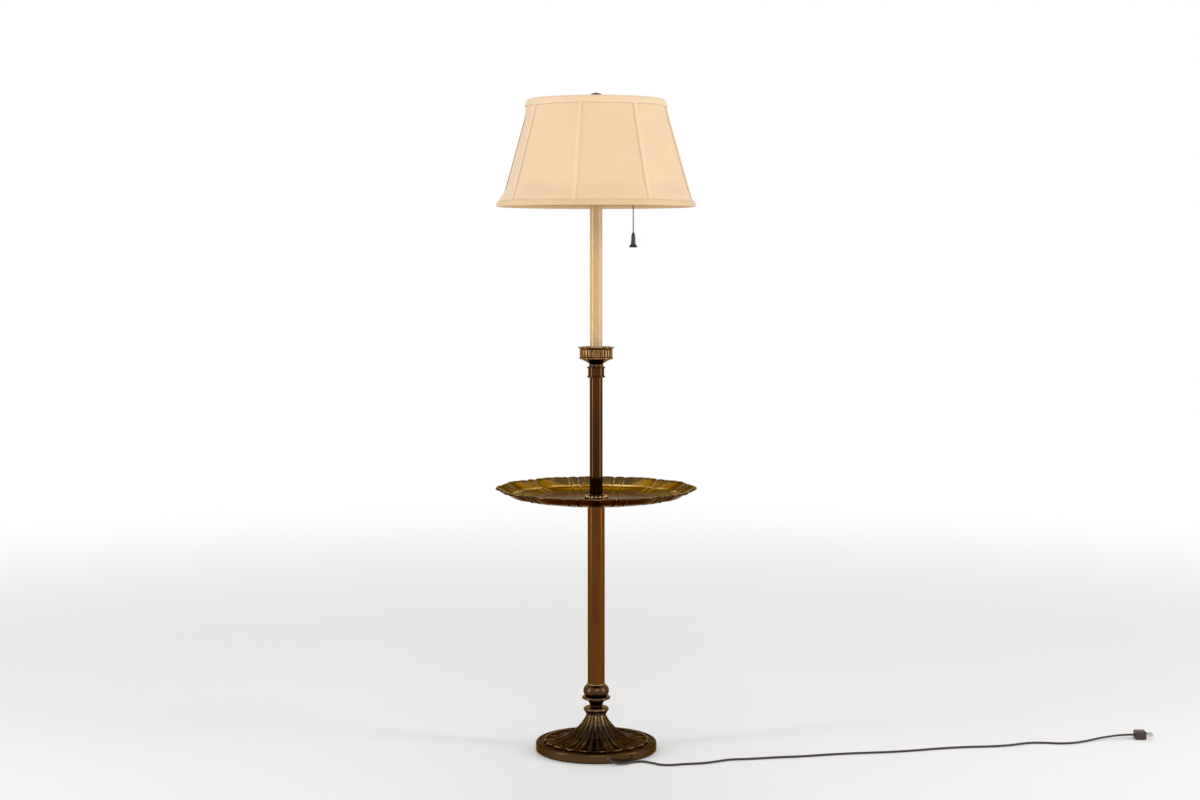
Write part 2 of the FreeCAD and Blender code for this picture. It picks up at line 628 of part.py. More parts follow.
def spindle():
    """Turned spindle: a ring with a beaded foot, a narrow neck, and a flared cup under a bead flange."""
    neck = "beaded_ring_height + spindle_neck_height"
    cup = neck + " + spindle_cup_height"
    body = new_body("spindle")
    revolve_outline(body, [
        (bore, "0"),
        ("bead_foot_radius", "0"),
        ("bead_foot_radius", "bead_foot_height"),
        ("beaded_ring_radius - 3", "bead_foot_height", "(beaded_ring_height - bead_foot_height) * 0.52"),
        ("beaded_ring_radius - 3", "beaded_ring_height"),
        ("spindle_neck_radius + 1.5", "beaded_ring_height"),
        ("spindle_neck_radius", "beaded_ring_height + 1.5"),
        ("spindle_neck_radius", neck, "-spindle_cup_height * 1.35"),
        ("spindle_cup_radius", cup + " - 1"),
        ("spindle_cup_radius", cup),
        ("flange_radius - flange_thickness / 2", cup, "flange_thickness / 2 + 0.001"),
        ("flange_radius - flange_thickness / 2", cup + " + flange_thickness"),
        (bore, cup + " + flange_thickness"),
    ])
    stand(body, "spindle_level")


def tray():
    """Sheet tray: wide lobes and small ones round a flared flange, a ledge, and a flat floor."""
    wide = 360 / size("tray_lobe_count")
    small = size("small_lobe_angle")
    thickness = size("tray_thickness")
    rim = size("tray_height")
    ledge = size("tray_ledge_height")
    body = new_body("tray")

    def lobed_section(name, height, swell, inset):
        """Outline of lobes that swell from a circle (0) to the rim's full lobes (1)."""
        plane = FreeCAD.Placement(FreeCAD.Vector(0, 0, height), FreeCAD.Rotation())
        sketch = new_sketch(body, name, "XY_Plane", plane)
        crease, full_wide, full_small = swell

        def at(angle, radius):
            turn = math.radians(angle)
            return FreeCAD.Vector((radius - inset) * math.cos(turn), (radius - inset) * math.sin(turn), 0)

        for lobe in range(int(size("tray_lobe_count"))):
            middle = lobe * wide
            edge = (wide - small) / 2
            corner = at(middle + edge, crease)
            following = at(middle + wide - edge, crease)
            sketch.addGeometry(Part.Arc(at(middle - edge, crease), at(middle, full_wide), corner), False)
            sketch.addGeometry(Part.Arc(corner, at(middle + wide / 2, full_small), following), False)
        return sketch

    floor_ring = (size("tray_floor_radius"),) * 3
    ledge_radius = size("tray_ledge_radius")
    rim_ring = (size("tray_crease_radius"), size("tray_radius"), size("tray_small_lobe_radius"))
    ledge_ring = tuple(ledge_radius + 0.7 * (radius - size("tray_radius")) for radius in rim_ring)
    lip = size("tray_lip_drop")
    outer = [lobed_section("foot", 0, floor_ring, 0.0),
             lobed_section("outer_ledge", ledge, ledge_ring, 0.0),
             lobed_section("outer_lip", rim - lip, rim_ring, 0.6),
             lobed_section("outer_edge", rim - 0.5, rim_ring, 0.0),
             lobed_section("outer_rim", rim + thickness, rim_ring, 1.0)]
    loft(body, outer, name="outside")
    inner = [lobed_section("floor", thickness, floor_ring, thickness * 0.4),
             lobed_section("inner_ledge", ledge + thickness, ledge_ring, thickness * 0.7),
             lobed_section("inner_flange", rim - 1.0, rim_ring, 4.2),
             lobed_section("inner_rim", rim + thickness + 0.01, rim_ring, 2.4)]
    loft(body, inner, "PartDesign::SubtractiveLoft", name="inside")
    bore_inward(body, "pipe_hole", "tray_thickness + 1", "tray_thickness + 2", "0", "0", bore, "XY_Plane")
    stand(body, "tray_level")


def tray_ring():
    """Beaded ring that stands on the tray and holds the foot of the upper tube."""
    hub = "upper_tube_radius + fit_gap + 2.6"
    body = new_body("tray_ring")
    revolve_outline(body, [
        (bore, "0"), ("tray_ring_radius - 0.6", "0"), ("tray_ring_radius", "0.8"),
        ("tray_ring_radius", "tray_ring_plate - 0.8"), ("tray_ring_radius - 0.8", "tray_ring_plate"),
        (hub, "tray_ring_plate"), (hub, "tray_ring_height - 1.2", "1.2"),
        (hub + " - 1.2", "tray_ring_height"),
        ("upper_tube_radius + fit_gap", "tray_ring_height"),
        ("upper_tube_radius + fit_gap", "tray_ring_plate"), (bore, "tray_ring_plate")])
    stand(body, "tray_ring_level")


def spigot_piece(label, tube_radius, tube_wall, above, level):
    """Turned piece whose spigot hangs inside the tube below: above lists its outline over the tube."""
    spigot = tube_radius + " - " + tube_wall + " - fit_gap"
    body = new_body(label)
    revolve_outline(body, [(bore, "-spigot_length"), (spigot, "-spigot_length"), (spigot, "0")]
                    + above)
    stand(body, level)


def candle_cup():
    """Reeded candle cup on a cone and a short neck, open at the top round the candle tube."""
    shoulder = "cup_neck_height + cup_cone_height"
    rim = shoulder + " + cup_wall_height"
    body = new_body("candle_cup")
    revolve_outline(body, [
        (bore, "0"), ("cup_neck_radius", "0"), ("cup_neck_radius", "cup_neck_height"),
        ("cup_radius - 2.5", shoulder + " - 1.5"), ("cup_radius", shoulder + " + 1"),
        ("cup_radius", rim), ("cup_rim_radius", rim + " + 1"), ("cup_rim_radius", "cup_height"),
        ("cup_radius - cup_wall", "cup_height"), ("cup_radius - cup_wall", "cup_floor_height"),
        (bore, "cup_floor_height")])
    plane = FreeCAD.Placement(FreeCAD.Vector(0, 0, size(shoulder) + 2.5), FreeCAD.Rotation())
    outline = circle_sketch(body, "flute_outline", "cup_radius + cup_flute_radius * 0.55", "0",
                            "cup_flute_radius", "XY_Plane", plane)
    flute = body.newObject("PartDesign::Pocket", "wall_flute")
    flute.Profile = outline
    flute.Reversed = True
    flute.setExpression("Length", scoped("cup_wall_height - 4"))
    doc.recompute()
    pattern_round(body, flute, "cup_flute_count")
    stand(body, "cup_level")


spindle()
turned("ball", [
    (bore, "0"),
    ("ball_seat_radius", "0", "((ball_height / 2) ^ 2 + (ball_radius - ball_seat_radius) ^ 2)"
                              " / (2 * (ball_radius - ball_seat_radius))"),
    ("ball_seat_radius", "ball_height"), (bore, "ball_height")], "ball_level")
turned("seat_ring", [
    (bore, "0"), ("seat_ring_radius - 1.5", "0"),
    ("seat_ring_radius", "1.5"), ("seat_ring_radius", "seat_ring_height - 1"),
    ("seat_ring_radius - 1", "seat_ring_height"),
    ("lower_tube_radius - lower_tube_wall - fit_gap", "seat_ring_height"),
    ("lower_tube_radius - lower_tube_wall - fit_gap", "seat_ring_height + spigot_length"),
    (bore, "seat_ring_height + spigot_length")], "seat_ring_level")
tube("lower_tube", "lower_tube_radius", "lower_tube_wall", "lower_tube_length", "lower_tube_level")
spigot_piece("tray_flange", "lower_tube_radius", "lower_tube_wall", [
    ("lower_tube_radius + 1", "0"),
    ("tray_flange_radius", "tray_flange_height - tray_flange_edge"),
    ("tray_flange_radius", "tray_flange_height"), (bore, "tray_flange_height")], "tray_flange_level")
tray()
tray_ring()
tube("upper_tube", "upper_tube_radius", "upper_tube_wall", "upper_tube_length", "upper_tube_level")
spigot_piece("collar", "upper_tube_radius", "upper_tube_wall", [
    ("collar_ring_radius - 1", "0"), ("collar_ring_radius", "1"),
    ("collar_ring_radius", "collar_ring_height - 1"), ("collar_radius", "collar_ring_height"),
    ("collar_radius", "collar_height - collar_ring_height"),
    ("collar_ring_radius", "collar_height - collar_ring_height + 1"),
    ("collar_ring_radius", "collar_height - 1"), ("collar_ring_radius - 1", "collar_height"),
    (bore, "collar_height")], "collar_level")
candle_cup()
tube("candle_tube", "candle_tube_radius", "candle_tube_wall", "candle_tube_length", "candle_tube_level")
spigot_piece("candle_cap", "candle_tube_radius", "candle_tube_wall", [
    ("candle_tube_radius", "0"), ("candle_tube_radius", "candle_cap_thickness - 1"),
    ("candle_tube_radius - 1", "candle_cap_thickness"), (bore, "candle_cap_thickness")],
    "candle_cap_level")

# ---------------------------------------------------------------- lights


def cluster_body():
    """Hollow two-light cluster body with an outlet on each side."""
    top = "cluster_height"
    inside = "cluster_radius - cluster_wall"
    round_edge = "cluster_radius - 9"
    body = new_body("cluster_body")
    revolve_outline(body, [
        (bore, "0"), ("cluster_neck_radius", "0"), ("cluster_neck_radius", "cluster_neck_height - 3"),
        ("cluster_radius", "cluster_neck_height + 4"), ("cluster_radius", top + " - 9", "9"),
        (round_edge, top), ("riser_radius + fit_gap", top),
        ("riser_radius + fit_gap", top + " - cluster_wall"),
        (round_edge, top + " - cluster_wall", "-(9 - cluster_wall)"),
        (inside, top + " - 9"), (inside, "cluster_neck_height + 6"), (bore, "cluster_neck_height + 1")])
    bore_inward(body, "arm_outlets", "cluster_radius + 1", "2 * cluster_radius + 2", "0", "arm_level", bore)
    stand(body, "cluster_level")


sides = {"right": (1, 0), "left": (-1, 180)}


def lay_along(body, side, reach):
    """Lay a turned piece along an arm: its own Z points outward and its own X straight down."""
    sign, turn = sides[side]
    outward = FreeCAD.Rotation(FreeCAD.Vector(0, 0, 1), turn)
    body.Placement.Rotation = outward.multiply(FreeCAD.Rotation(FreeCAD.Vector(0, 1, 0), 90))
    stand(body, "socket_level", ("" if sign > 0 else "-1 * ") + "(" + reach + ")")


def arm_piece(label, side, corners, reach):
    body = new_body(label)
    revolve_outline(body, corners)
    lay_along(body, side, reach)
    return body


def socket(side):
    """Pull-chain socket on the end of one arm, with its bulb."""
    arm_start = "(cluster_radius - cluster_wall - 2)"
    skin = "socket_skin"
    liner_radius = "shell_radius - socket_skin - fit_gap"
    core_radius = "shell_radius - socket_skin - 2 * fit_gap - 0.6"
    screw_start = "(socket_length - screw_shell_length)"
    arm_piece(side + "_arm", side, [
        ("pipe_bore_radius", "0"), ("pipe_radius", "0"), ("pipe_radius", "arm_reach - " + arm_start),
        ("pipe_bore_radius", "arm_reach - " + arm_start)], arm_start)
    arm_piece(side + "_socket_cap", side, [
        (bore, "0"), (bore + " + 5", "0"), ("socket_cap_radius", "10"),
        ("socket_cap_radius", "socket_cap_length"), ("socket_cap_radius - " + skin, "socket_cap_length"),
        ("socket_cap_radius - " + skin, "10"), (bore + " + 4", "1"), (bore + " + 2", "1"),
        (bore + " + 2", "arm_reach - socket_start"), (bore, "arm_reach - socket_start")], "socket_start")
    shell = arm_piece(side + "_socket_shell", side, [
        ("shell_radius - " + skin, "13"), ("shell_radius", "13"), ("shell_radius", "socket_length - 3"),
        ("shell_radius + 0.8", "socket_length - 1.5"), ("shell_radius + 0.8", "socket_length"),
        ("shell_radius - " + skin, "socket_length")], "socket_start")
    liner = arm_piece(side + "_socket_liner", side, [
        (liner_radius + " - 0.6", "13"), (liner_radius, "13"), (liner_radius, "socket_length - 1"),
        (liner_radius + " - 0.6", "socket_length - 1")], "socket_start")
    for body, radius in ((shell, "spout_radius + fit_gap"), (liner, "spout_radius + fit_gap")):
        bore_inward(body, "spout_hole", "shell_radius + 1", "shell_radius", "0", "chain_offset", radius)
    core = arm_piece(side + "_socket_core", side, [
        ("0", "10"), (core_radius, "10"), (core_radius, screw_start), ("0", screw_start)], "socket_start")
    bore_inward(core, "chain_slot", "shell_radius", "shell_radius - 3", "0", "chain_offset",
                "bead_radius + soft_gap")
    arm_piece(side + "_screw_shell", side, [
        ("0", screw_start), ("bulb_base_radius + 0.8", screw_start),
        ("bulb_base_radius + 0.8", "socket_length - 1"), ("bulb_base_radius + fit_gap", "socket_length - 1"),
        ("bulb_base_radius + fit_gap", screw_start + " + 0.8"), ("0", screw_start + " + 0.8")],
        "socket_start")
    bulb_start = "socket_start + " + screw_start + " + 0.8"
    arm_piece(side + "_bulb_base", side, [
        ("0", "0"), ("4", "0"), ("bulb_base_radius", "3"), ("bulb_base_radius", "screw_shell_length + 2"),
        ("bulb_base_radius - 0.8", "screw_shell_length + 2"), ("bulb_base_radius - 0.8", "3.5"),
        ("0", "3.5")], bulb_start)
    glass = "bulb_glass_wall"
    neck = "bulb_base_radius - 0.8 - fit_gap"
    belly = "bulb_length - bulb_radius"
    arm_piece(side + "_bulb_glass", side, [
        (neck + " - " + glass, "6"), (neck, "6"), (neck, "screw_shell_length + 6"),
        ("bulb_radius", belly, "bulb_radius"), ("0", "bulb_length"),
        ("0", "bulb_length - " + glass, "-(bulb_radius - " + glass + ")"),
        ("bulb_radius - " + glass, belly), (neck + " - " + glass, "screw_shell_length + 6")],
        bulb_start)


def chain(side, length):
    """Hanging chain: its pivot bead is at the local origin, in the mouth of the spout."""
    sign = "" if sides[side][0] > 0 else "-"
    body = new_body(side + "_chain")
    corners = [("0", "-bead_radius"), ("0", "bead_radius", "-bead_radius - 0.0001")]
    if side == "right":
        corners = [("0", "-(" + length + ")"), ("link_radius", "-(" + length + ")")]
    else:
        drop = length + " - end_ball_radius - sqrt(end_ball_radius ^ 2 - link_radius ^ 2)"
        corners = [("0", "-(" + length + ")", "end_ball_radius"), ("link_radius", "-(" + drop + ")")]
    corners += [("link_radius", "-sqrt(bead_radius ^ 2 - link_radius ^ 2)", "bead_radius"),
                ("0", "bead_radius")]
    revolve_outline(body, corners, "wire")
    stand(body, "pivot_level", sign + "chain_reach")


def switch_chain(side):
    """Rigid end of the chain inside the spout, which the switch in the core pulls back."""
    sign = "" if sides[side][0] > 0 else "-"
    turned(side + "_switch_chain", [
        ("0", "0"), ("link_radius", "0"), ("link_radius", "switch_chain_length"),
        ("0", "switch_chain_length")], "pivot_level + bead_radius + soft_gap", sign + "chain_reach")


def spout(side):
    """Flared spout under a socket shell that the chain runs in."""
    sign = "" if sides[side][0] > 0 else "-"
    turned(side + "_spout", [
        ("spout_mouth_radius - 1", "0"), ("spout_mouth_radius", "0"), ("spout_mouth_radius", "0.8"),
        ("spout_radius", "spout_length / 2"), ("spout_radius", "spout_length - 1.2"),
        ("spout_radius + 2", "spout_length - 1.2"), ("spout_radius + 2", "spout_length"),
        ("spout_radius", "spout_length"), ("spout_radius", "spout_length + socket_skin + 0.4"),
        ("spout_bore_radius", "spout_length + socket_skin + 0.4"), ("spout_bore_radius", "spout_length / 2 + 0.5")],
        "shell_underside - spout_length", sign + "chain_reach")


cluster_body()
for side, length in (("right", "right_chain_length"), ("left", "left_chain_length")):
    socket(side)
    spout(side)
    switch_chain(side)
    chain(side, length)
turned("bell_pull", [
    ("link_radius + fit_gap", "bell_height - 5"), ("0", "bell_height - 5"), ("0", "0"),
    ("bell_foot_radius - 1.5", "0"), ("bell_foot_radius", "1.5"),
    ("bell_foot_radius - 2.5", "bell_flare_height"), ("bell_body_radius", "bell_flare_height + 2"),
    ("bell_top_radius", "bell_height - 6"), ("bell_top_radius - 2", "bell_height - 1"),
    ("link_radius + fit_gap", "bell_height")],
    "pivot_level - right_chain_length - bell_height + 5", "chain_reach")

# ---------------------------------------------------------------- shade


def panel_radius(height):
    """Radius of the fabric's outside over a rib, at a height in the shade."""
    return size("shade_bottom_radius") - size("shade_slope") * height


def panel_section(body, name, height, radius, flat):
    """Outline of one arc per panel: flat is 0 for a circle and 1 for straight panels."""
    count = int(size("shade_panel_count"))
    plane = FreeCAD.Placement(FreeCAD.Vector(0, 0, height), FreeCAD.Rotation())
    sketch = new_sketch(body, name, "XY_Plane", plane)
    middle_radius = radius * (1 - flat * (1 - math.cos(math.pi / count)))
    pitch = 2 * math.pi / count

    def at(turn, distance):
        return FreeCAD.Vector(distance * math.cos(turn), distance * math.sin(turn), 0)

    for panel in range(count):
        start = panel * pitch
        sketch.addGeometry(Part.Arc(at(start, radius), at(start + pitch / 2, middle_radius),
                                    at(start + pitch, radius)), False)
    return sketch


def panel_stations(low, high):
    """Heights of a panel skin and how flat the panels are there."""
    flat = size("panel_flatness")
    trim = size("trim_height")
    ease = size("panel_ease_height")
    top = size("shade_height")
    return [(low, 0.0), (trim, 0.0), (trim + ease, flat), (top - trim - ease, flat), (top - trim, 0.0),
            (high, 0.0)]


def panel_skin(label, inset, thickness, low, high):
    """Thin closed skin of flat panels that turn round at the shade's two rings."""
    body = new_body(label)
    outer = []
    inner = []
    for index, (height, flat) in enumerate(panel_stations(low, high)):
        radius = panel_radius(height) - inset
        over = 0.0
        if index == 0:
            over = -0.01
        if height == high:
            over = 0.01
        outer.append(panel_section(body, "outer_" + str(index), height, radius, flat))
        inner.append(panel_section(body, "inner_" + str(index), height + over, radius - thickness, flat))
    loft(body, outer, name="outside")
    loft(body, inner, "PartDesign::SubtractiveLoft", name="inside")
    stand(body, "shade_base_level")
    face_front(body, "shade_turned")


def shade_ring(body, radius, height, wire):
    """Wire ring as a round section revolved about the axis."""
    sketch = circle_sketch(body, "wire_section", radius, height, wire, "XZ_Plane")
    ring = body.newObject("PartDesign::Revolution", "wire_ring")
    ring.Profile = sketch
    ring.ReferenceAxis = (sketch, ["V_Axis"])
    ring.Angle = 360
    doc.recompute()


def trim_band(label, low):
    """Band of trim round one edge of the shade."""
    inner = "shade_bottom_radius + soft_gap - shade_slope * "
    outer = "shade_bottom_radius + trim_thickness - shade_slope * "
    high = "(" + low + " + trim_height)"
    turned(label, [
        (inner + "(" + low + ")", low), (outer + "(" + low + " + 1) - 0.8", low),
        (outer + "(" + low + " + 1.5)", low + " + 1.5"), (outer + "(" + high + " - 1.5)", high + " - 1.5"),
        (outer + high + " - 0.8", high), (inner + high, high)], "shade_base_level")


wire_inset = "(fabric_thickness + soft_gap)"
ring_drop = "ring_wire_radius + 0.8"
bottom_ring_radius = "shade_bottom_radius - shade_slope * (" + ring_drop + ") - " + wire_inset \
                     + " - ring_wire_radius - 0.2"
top_ring_radius = "shade_top_radius - " + wire_inset + " - ring_wire_radius"
top_ring_height = "shade_height - (" + ring_drop + ")"


def shade_spider():
    """Top ring, the washer in its middle and the arms between them, welded into one piece."""
    body = new_body("shade_spider")
    hub = "hub_level - shade_base_level"
    revolve_outline(body, [
        ("stud_radius + soft_gap", hub), ("spider_hub_radius", hub),
        ("spider_hub_radius", hub + " + spider_hub_thickness"),
        ("stud_radius + soft_gap", hub + " + spider_hub_thickness")], "hub")
    sections = []
    for name, radius, height in (("arm_foot", "spider_hub_radius - 3", hub + " + spider_arm_radius + 0.2"),
                                 ("arm_end", top_ring_radius, top_ring_height)):
        offset = FreeCAD.Placement(FreeCAD.Vector(0, 0, size(radius)), FreeCAD.Rotation())
        sketch = circle_sketch(body, name, "0", height, "spider_arm_radius", "YZ_Plane", offset)
        sketch.setExpression("AttachmentOffset.Base.z", scoped(radius))
        sections.append(sketch)
    arm = loft(body, sections, name="arm")
    pattern_round(body, arm, "spider_arm_count")
    shade_ring(body, top_ring_radius, top_ring_height, "ring_wire_radius")
    stand(body, "shade_base_level")
    face_front(body, "spider_bearing")


def shade_ribs():
    """Straight wires from ring to ring, one at each seam of the panels."""
    body = new_body("shade_ribs")
    inset = "(" + wire_inset + " + rib_wire_radius)"
    sections = []
    for name, height in (("rib_foot", "2 * ring_wire_radius + 1"),
                         ("rib_head", "shade_height - 2 * ring_wire_radius - 1")):
        offset = FreeCAD.Placement(FreeCAD.Vector(0, 0, size(height)), FreeCAD.Rotation())
        sketch = circle_sketch(body, name, "shade_bottom_radius - shade_slope * (" + height + ") - " + inset,
                               "0", "rib_wire_radius", "XY_Plane", offset)
        sketch.setExpression("AttachmentOffset.Base.z", scoped(height))
        sections.append(sketch)
    rib = loft(body, sections, name="rib")
    pattern_round(body, rib, "shade_panel_count")
    stand(body, "shade_base_level")
    face_front(body, "shade_turned")


def rib_trims():
    """Strips of trim over the seams of the panels."""
    body = new_body("rib_trims")
    half = size("rib_trim_width") / 2
    sections = []
    gap = size("soft_gap")
    for name, height in (("trim_foot", size("trim_height + 0.5")),
                         ("trim_head", size("shade_height - trim_height - 0.5"))):
        plane = FreeCAD.Placement(FreeCAD.Vector(0, 0, height), FreeCAD.Rotation())
        sketch = new_sketch(body, name, "XY_Plane", plane)
        near = panel_radius(height) + gap
        far = near + size("rib_trim_thickness")
        places = [FreeCAD.Vector(near, -half, 0), FreeCAD.Vector(far, -half, 0),
                  FreeCAD.Vector(far, half, 0), FreeCAD.Vector(near, half, 0)]
        for index, place in enumerate(places):
            sketch.addGeometry(Part.LineSegment(place, places[(index + 1) % 4]), False)
        sections.append(sketch)
    strip = loft(body, sections, name="strip")
    pattern_round(body, strip, "shade_panel_count")
    stand(body, "shade_base_level")
    face_front(body, "shade_turned")


turned("shade_riser", [
    ("0", "-cluster_wall"), ("riser_radius", "-cluster_wall"), ("riser_radius", "riser_length"),
    ("rest_radius", "riser_length"), ("rest_radius", "riser_length + rest_thickness"),
    ("stud_radius", "riser_length + rest_thickness"),
    ("stud_radius", "riser_length + rest_thickness + stud_length"),
    ("0", "riser_length + rest_thickness + stud_length")], "riser_level")
shade_spider()
bottom_ring = new_body("shade_bottom_ring")
shade_ring(bottom_ring, bottom_ring_radius, ring_drop, "ring_wire_radius")
stand(bottom_ring, "shade_base_level")
shade_ribs()
panel_skin("shade_cover", 0.0, size("fabric_thickness"), 0.0, size("shade_height"))
panel_skin("shade_lining", size(wire_inset + " + 2 * rib_wire_radius + soft_gap"), size("lining_thickness"),
           size("2 * ring_wire_radius + 2"), size("shade_height - 4 * ring_wire_radius - 4"))
trim_band("bottom_trim", "0")
trim_band("top_trim", "(shade_height - trim_height)")
rib_trims()
turned("finial", [
    ("stud_radius + fit_gap", "0"), ("finial_stem_radius", "0"), ("finial_stem_radius", "6"),
    ("finial_stem_radius - 2", "finial_height - 14"),
    ("finial_radius", "finial_height - 7", "3.2"), ("finial_radius - 2", "finial_height - 2"),
    ("3", "finial_height"), ("0", "finial_height"), ("0", "finial_height - 7"),
    ("stud_radius + fit_gap", "finial_height - 7")], "finial_level")

# ---------------------------------------------------------------- cord and plug
cord_route = [
    (44.0, -147.5, 5.2), (63.0, -137.5, 3.0), (81.0, -120.0, 2.4), (101.0, -114.5, 2.4),
    (121.0, -128.0, 2.4), (140.0, -146.5, 2.4), (163.0, -148.0, 2.4), (190.0, -137.5, 2.4),
    (230.0, -133.0, 2.4), (261.0, -116.0, 2.4), (291.0, -98.0, 2.4), (336.0, -94.5, 2.4),
    (390.0, -80.5, 2.4), (450.0, -72.5, 2.4), (508.0, -56.0, 2.4), (571.0, -43.5, 2.4),
    (634.0, -36.0, 2.4), (698.0, -22.0, 2.4), (760.0, -1.5, 2.4), (823.0, 12.0, 2.4),
    (883.0, 16.5, 2.4), (930.0, 29.0, 2.4), (966.0, 49.0, 2.4), (1004.0, 51.5, 2.4),
    (1041.0, 43.0, 2.4), (1075.0, 48.5, 2.4), (1107.0, 67.0, 2.6), (1140.0, 86.0, 4.4),
    (1174.0, 94.5, 7.4), (1203.0, 97.0, 9.5), (1222.0, 97.0, 9.5),
]


def rounded_path(points):
    """Straight runs joined by tangent arcs, and the radius of each arc."""
    edges = []
    radii = []
    start = points[0]
    for before, corner, after in zip(points, points[1:], points[2:]):
        into = corner - before
        out = after - corner
        half_turn = into.getAngle(out) / 2
        cut = 0.45 * min(into.Length, out.Length)
        radii.append(cut / math.tan(half_turn))
        first = corner - into.normalize() * cut
        last = corner + out.normalize() * cut
        towards = (first + last) / 2 - corner
        centre = corner + towards.normalize() * (cut / math.sin(half_turn))
        middle = centre + (corner - centre).normalize() * radii[-1]
        edges.append(Part.LineSegment(start, first).toShape())
        edges.append(Part.Arc(first, middle, last).toShape())
        start = last
    edges.append(Part.LineSegment(start, points[-1]).toShape())
    return Part.Wire(edges), radii


def tube_along(label, path, radius, start, direction):
    section = Part.Wire(Part.makeCircle(radius, start, direction))
    solid = path.makePipeShell([section], True, False)
    ideal = math.pi * radius ** 2 * path.Length
    print(label, "length", round(path.Length, 1), "volume share", round(solid.Volume / ideal, 4))
    piece = doc.addObject("Part::Feature", label)
    piece.Label = label
    piece.Shape = solid
    return piece


def cords():
    """Free cord from the bushing's face along the floor to the plug, and the cord inside the column."""
    bearing = math.radians(size("cord_hole_bearing"))
    outward = FreeCAD.Vector(math.sin(bearing), -math.cos(bearing), 0)
    height = FreeCAD.Vector(0, 0, size("cord_hole_height"))
    face = outward * size("base_diameter / 2 + bushing_flange_thickness") + height
    radius = size("cord_radius")
    bend = face + outward * 9.0
    points = [face, bend] + [FreeCAD.Vector(*point) for point in cord_route]
    path, radii = rounded_path(points)
    print("cord radii", [round(value, 1) for value in radii])
    print("cord runs", [round((b - a).Length, 1) for a, b in zip(points, points[1:])])
    tube_along("power_cord", path, radius, face, bend - face)

    turn = size("cord_turn_radius")
    near = outward * turn + height
    up = FreeCAD.Vector(0, 0, turn)
    centre = near + up
    middle = centre + (outward + FreeCAD.Vector(0, 0, 1)).normalize() * -turn
    inner = Part.Wire([Part.LineSegment(face, near).toShape(),
                       Part.Arc(near, middle, height + up).toShape(),
                       Part.LineSegment(height + up,
                                        FreeCAD.Vector(0, 0, size("socket_level"))).toShape()])
    tube_along("inner_cord", inner, radius, face, outward * -1)


def plug():
    """Rounded plug body and its two flat blades, where the cord ends on the floor."""
    end = cord_route[-1]
    body = new_body("plug_body")
    sketch = new_sketch(body, "plug_outline", "XY_Plane")
    closed_outline(sketch, [("0", "-plug_width / 2"), ("plug_length", "-plug_width / 2"),
                            ("plug_length", "plug_width / 2"), ("0", "plug_width / 2")])
    block = body.newObject("PartDesign::Pad", "block")
    block.Profile = sketch
    block.setExpression("Length", scoped("plug_height"))
    doc.recompute()
    rounding = body.newObject("PartDesign::Fillet", "rounding")
    rounding.Base = (block, ["Edge" + str(number + 1) for number in range(len(block.Shape.Edges))])
    rounding.setExpression("Radius", scoped("plug_round"))
    body.Tip = rounding
    body.Placement.Base = FreeCAD.Vector(end[0], end[1], 0)
    doc.recompute()
    blades = []
    for sign in (-1, 1):
        blade = doc.addObject("Part::Box", "blade_box")
        blade.setExpression("Length", scoped("blade_length"))
        blade.setExpression("Width", scoped("blade_thickness"))
        blade.setExpression("Height", scoped("blade_width"))
        middle = end[1] + sign * size("blade_spacing") / 2
        blade.Placement.Base = FreeCAD.Vector(end[0] + size("plug_length"),
                                              middle - size("blade_thickness") / 2,
                                              size("(plug_height - blade_width) / 2"))
        blades.append(blade)
    pair = doc.addObject("Part::Compound", "plug_blades")
    pair.Label = "plug_blades"
    pair.Links = blades
    doc.recompute()


cords()
plug()

# ---------------------------------------------------------------- write


def check_and_write():
    finished = sub_parts()
    pieces = [item for item in doc.Objects if item.Name in finished]
    for item in doc.Objects:
        if "Invalid" in item.State or "Error" in item.State:
            raise SystemExit("failed object: " + item.Label)
    for item in pieces:
        if item.Shape.isNull() or not item.Shape.isValid():
            raise SystemExit("bad shape: " + item.Label)
    os.makedirs("parts", exist_ok=True)
    for item in pieces:
        item.Shape.exportStep("parts/" + item.Label + ".step")
        box = item.Shape.BoundBox
        print(item.Label, "solids", len(item.Shape.Solids),
              "z", round(box.ZMin, 2), round(box.ZMax, 2))
    print("pieces", len(pieces))


def sub_parts():
    """Names of the finished pieces: bodies and whatever no other object is built from."""
    names = []
    for item in doc.Objects:
        inside_body = any(item in holder.Group for holder in doc.findObjects("PartDesign::Body"))
        is_body = item.TypeId == "PartDesign::Body"
        is_shape = item.TypeId.startswith("Part::")
        used = [user for user in item.InList if user.TypeId.startswith("Part::")]
        if is_body or (is_shape and not inside_body and not used):
            names.append(item.Name)
    return names


doc.recompute()
check_and_write()
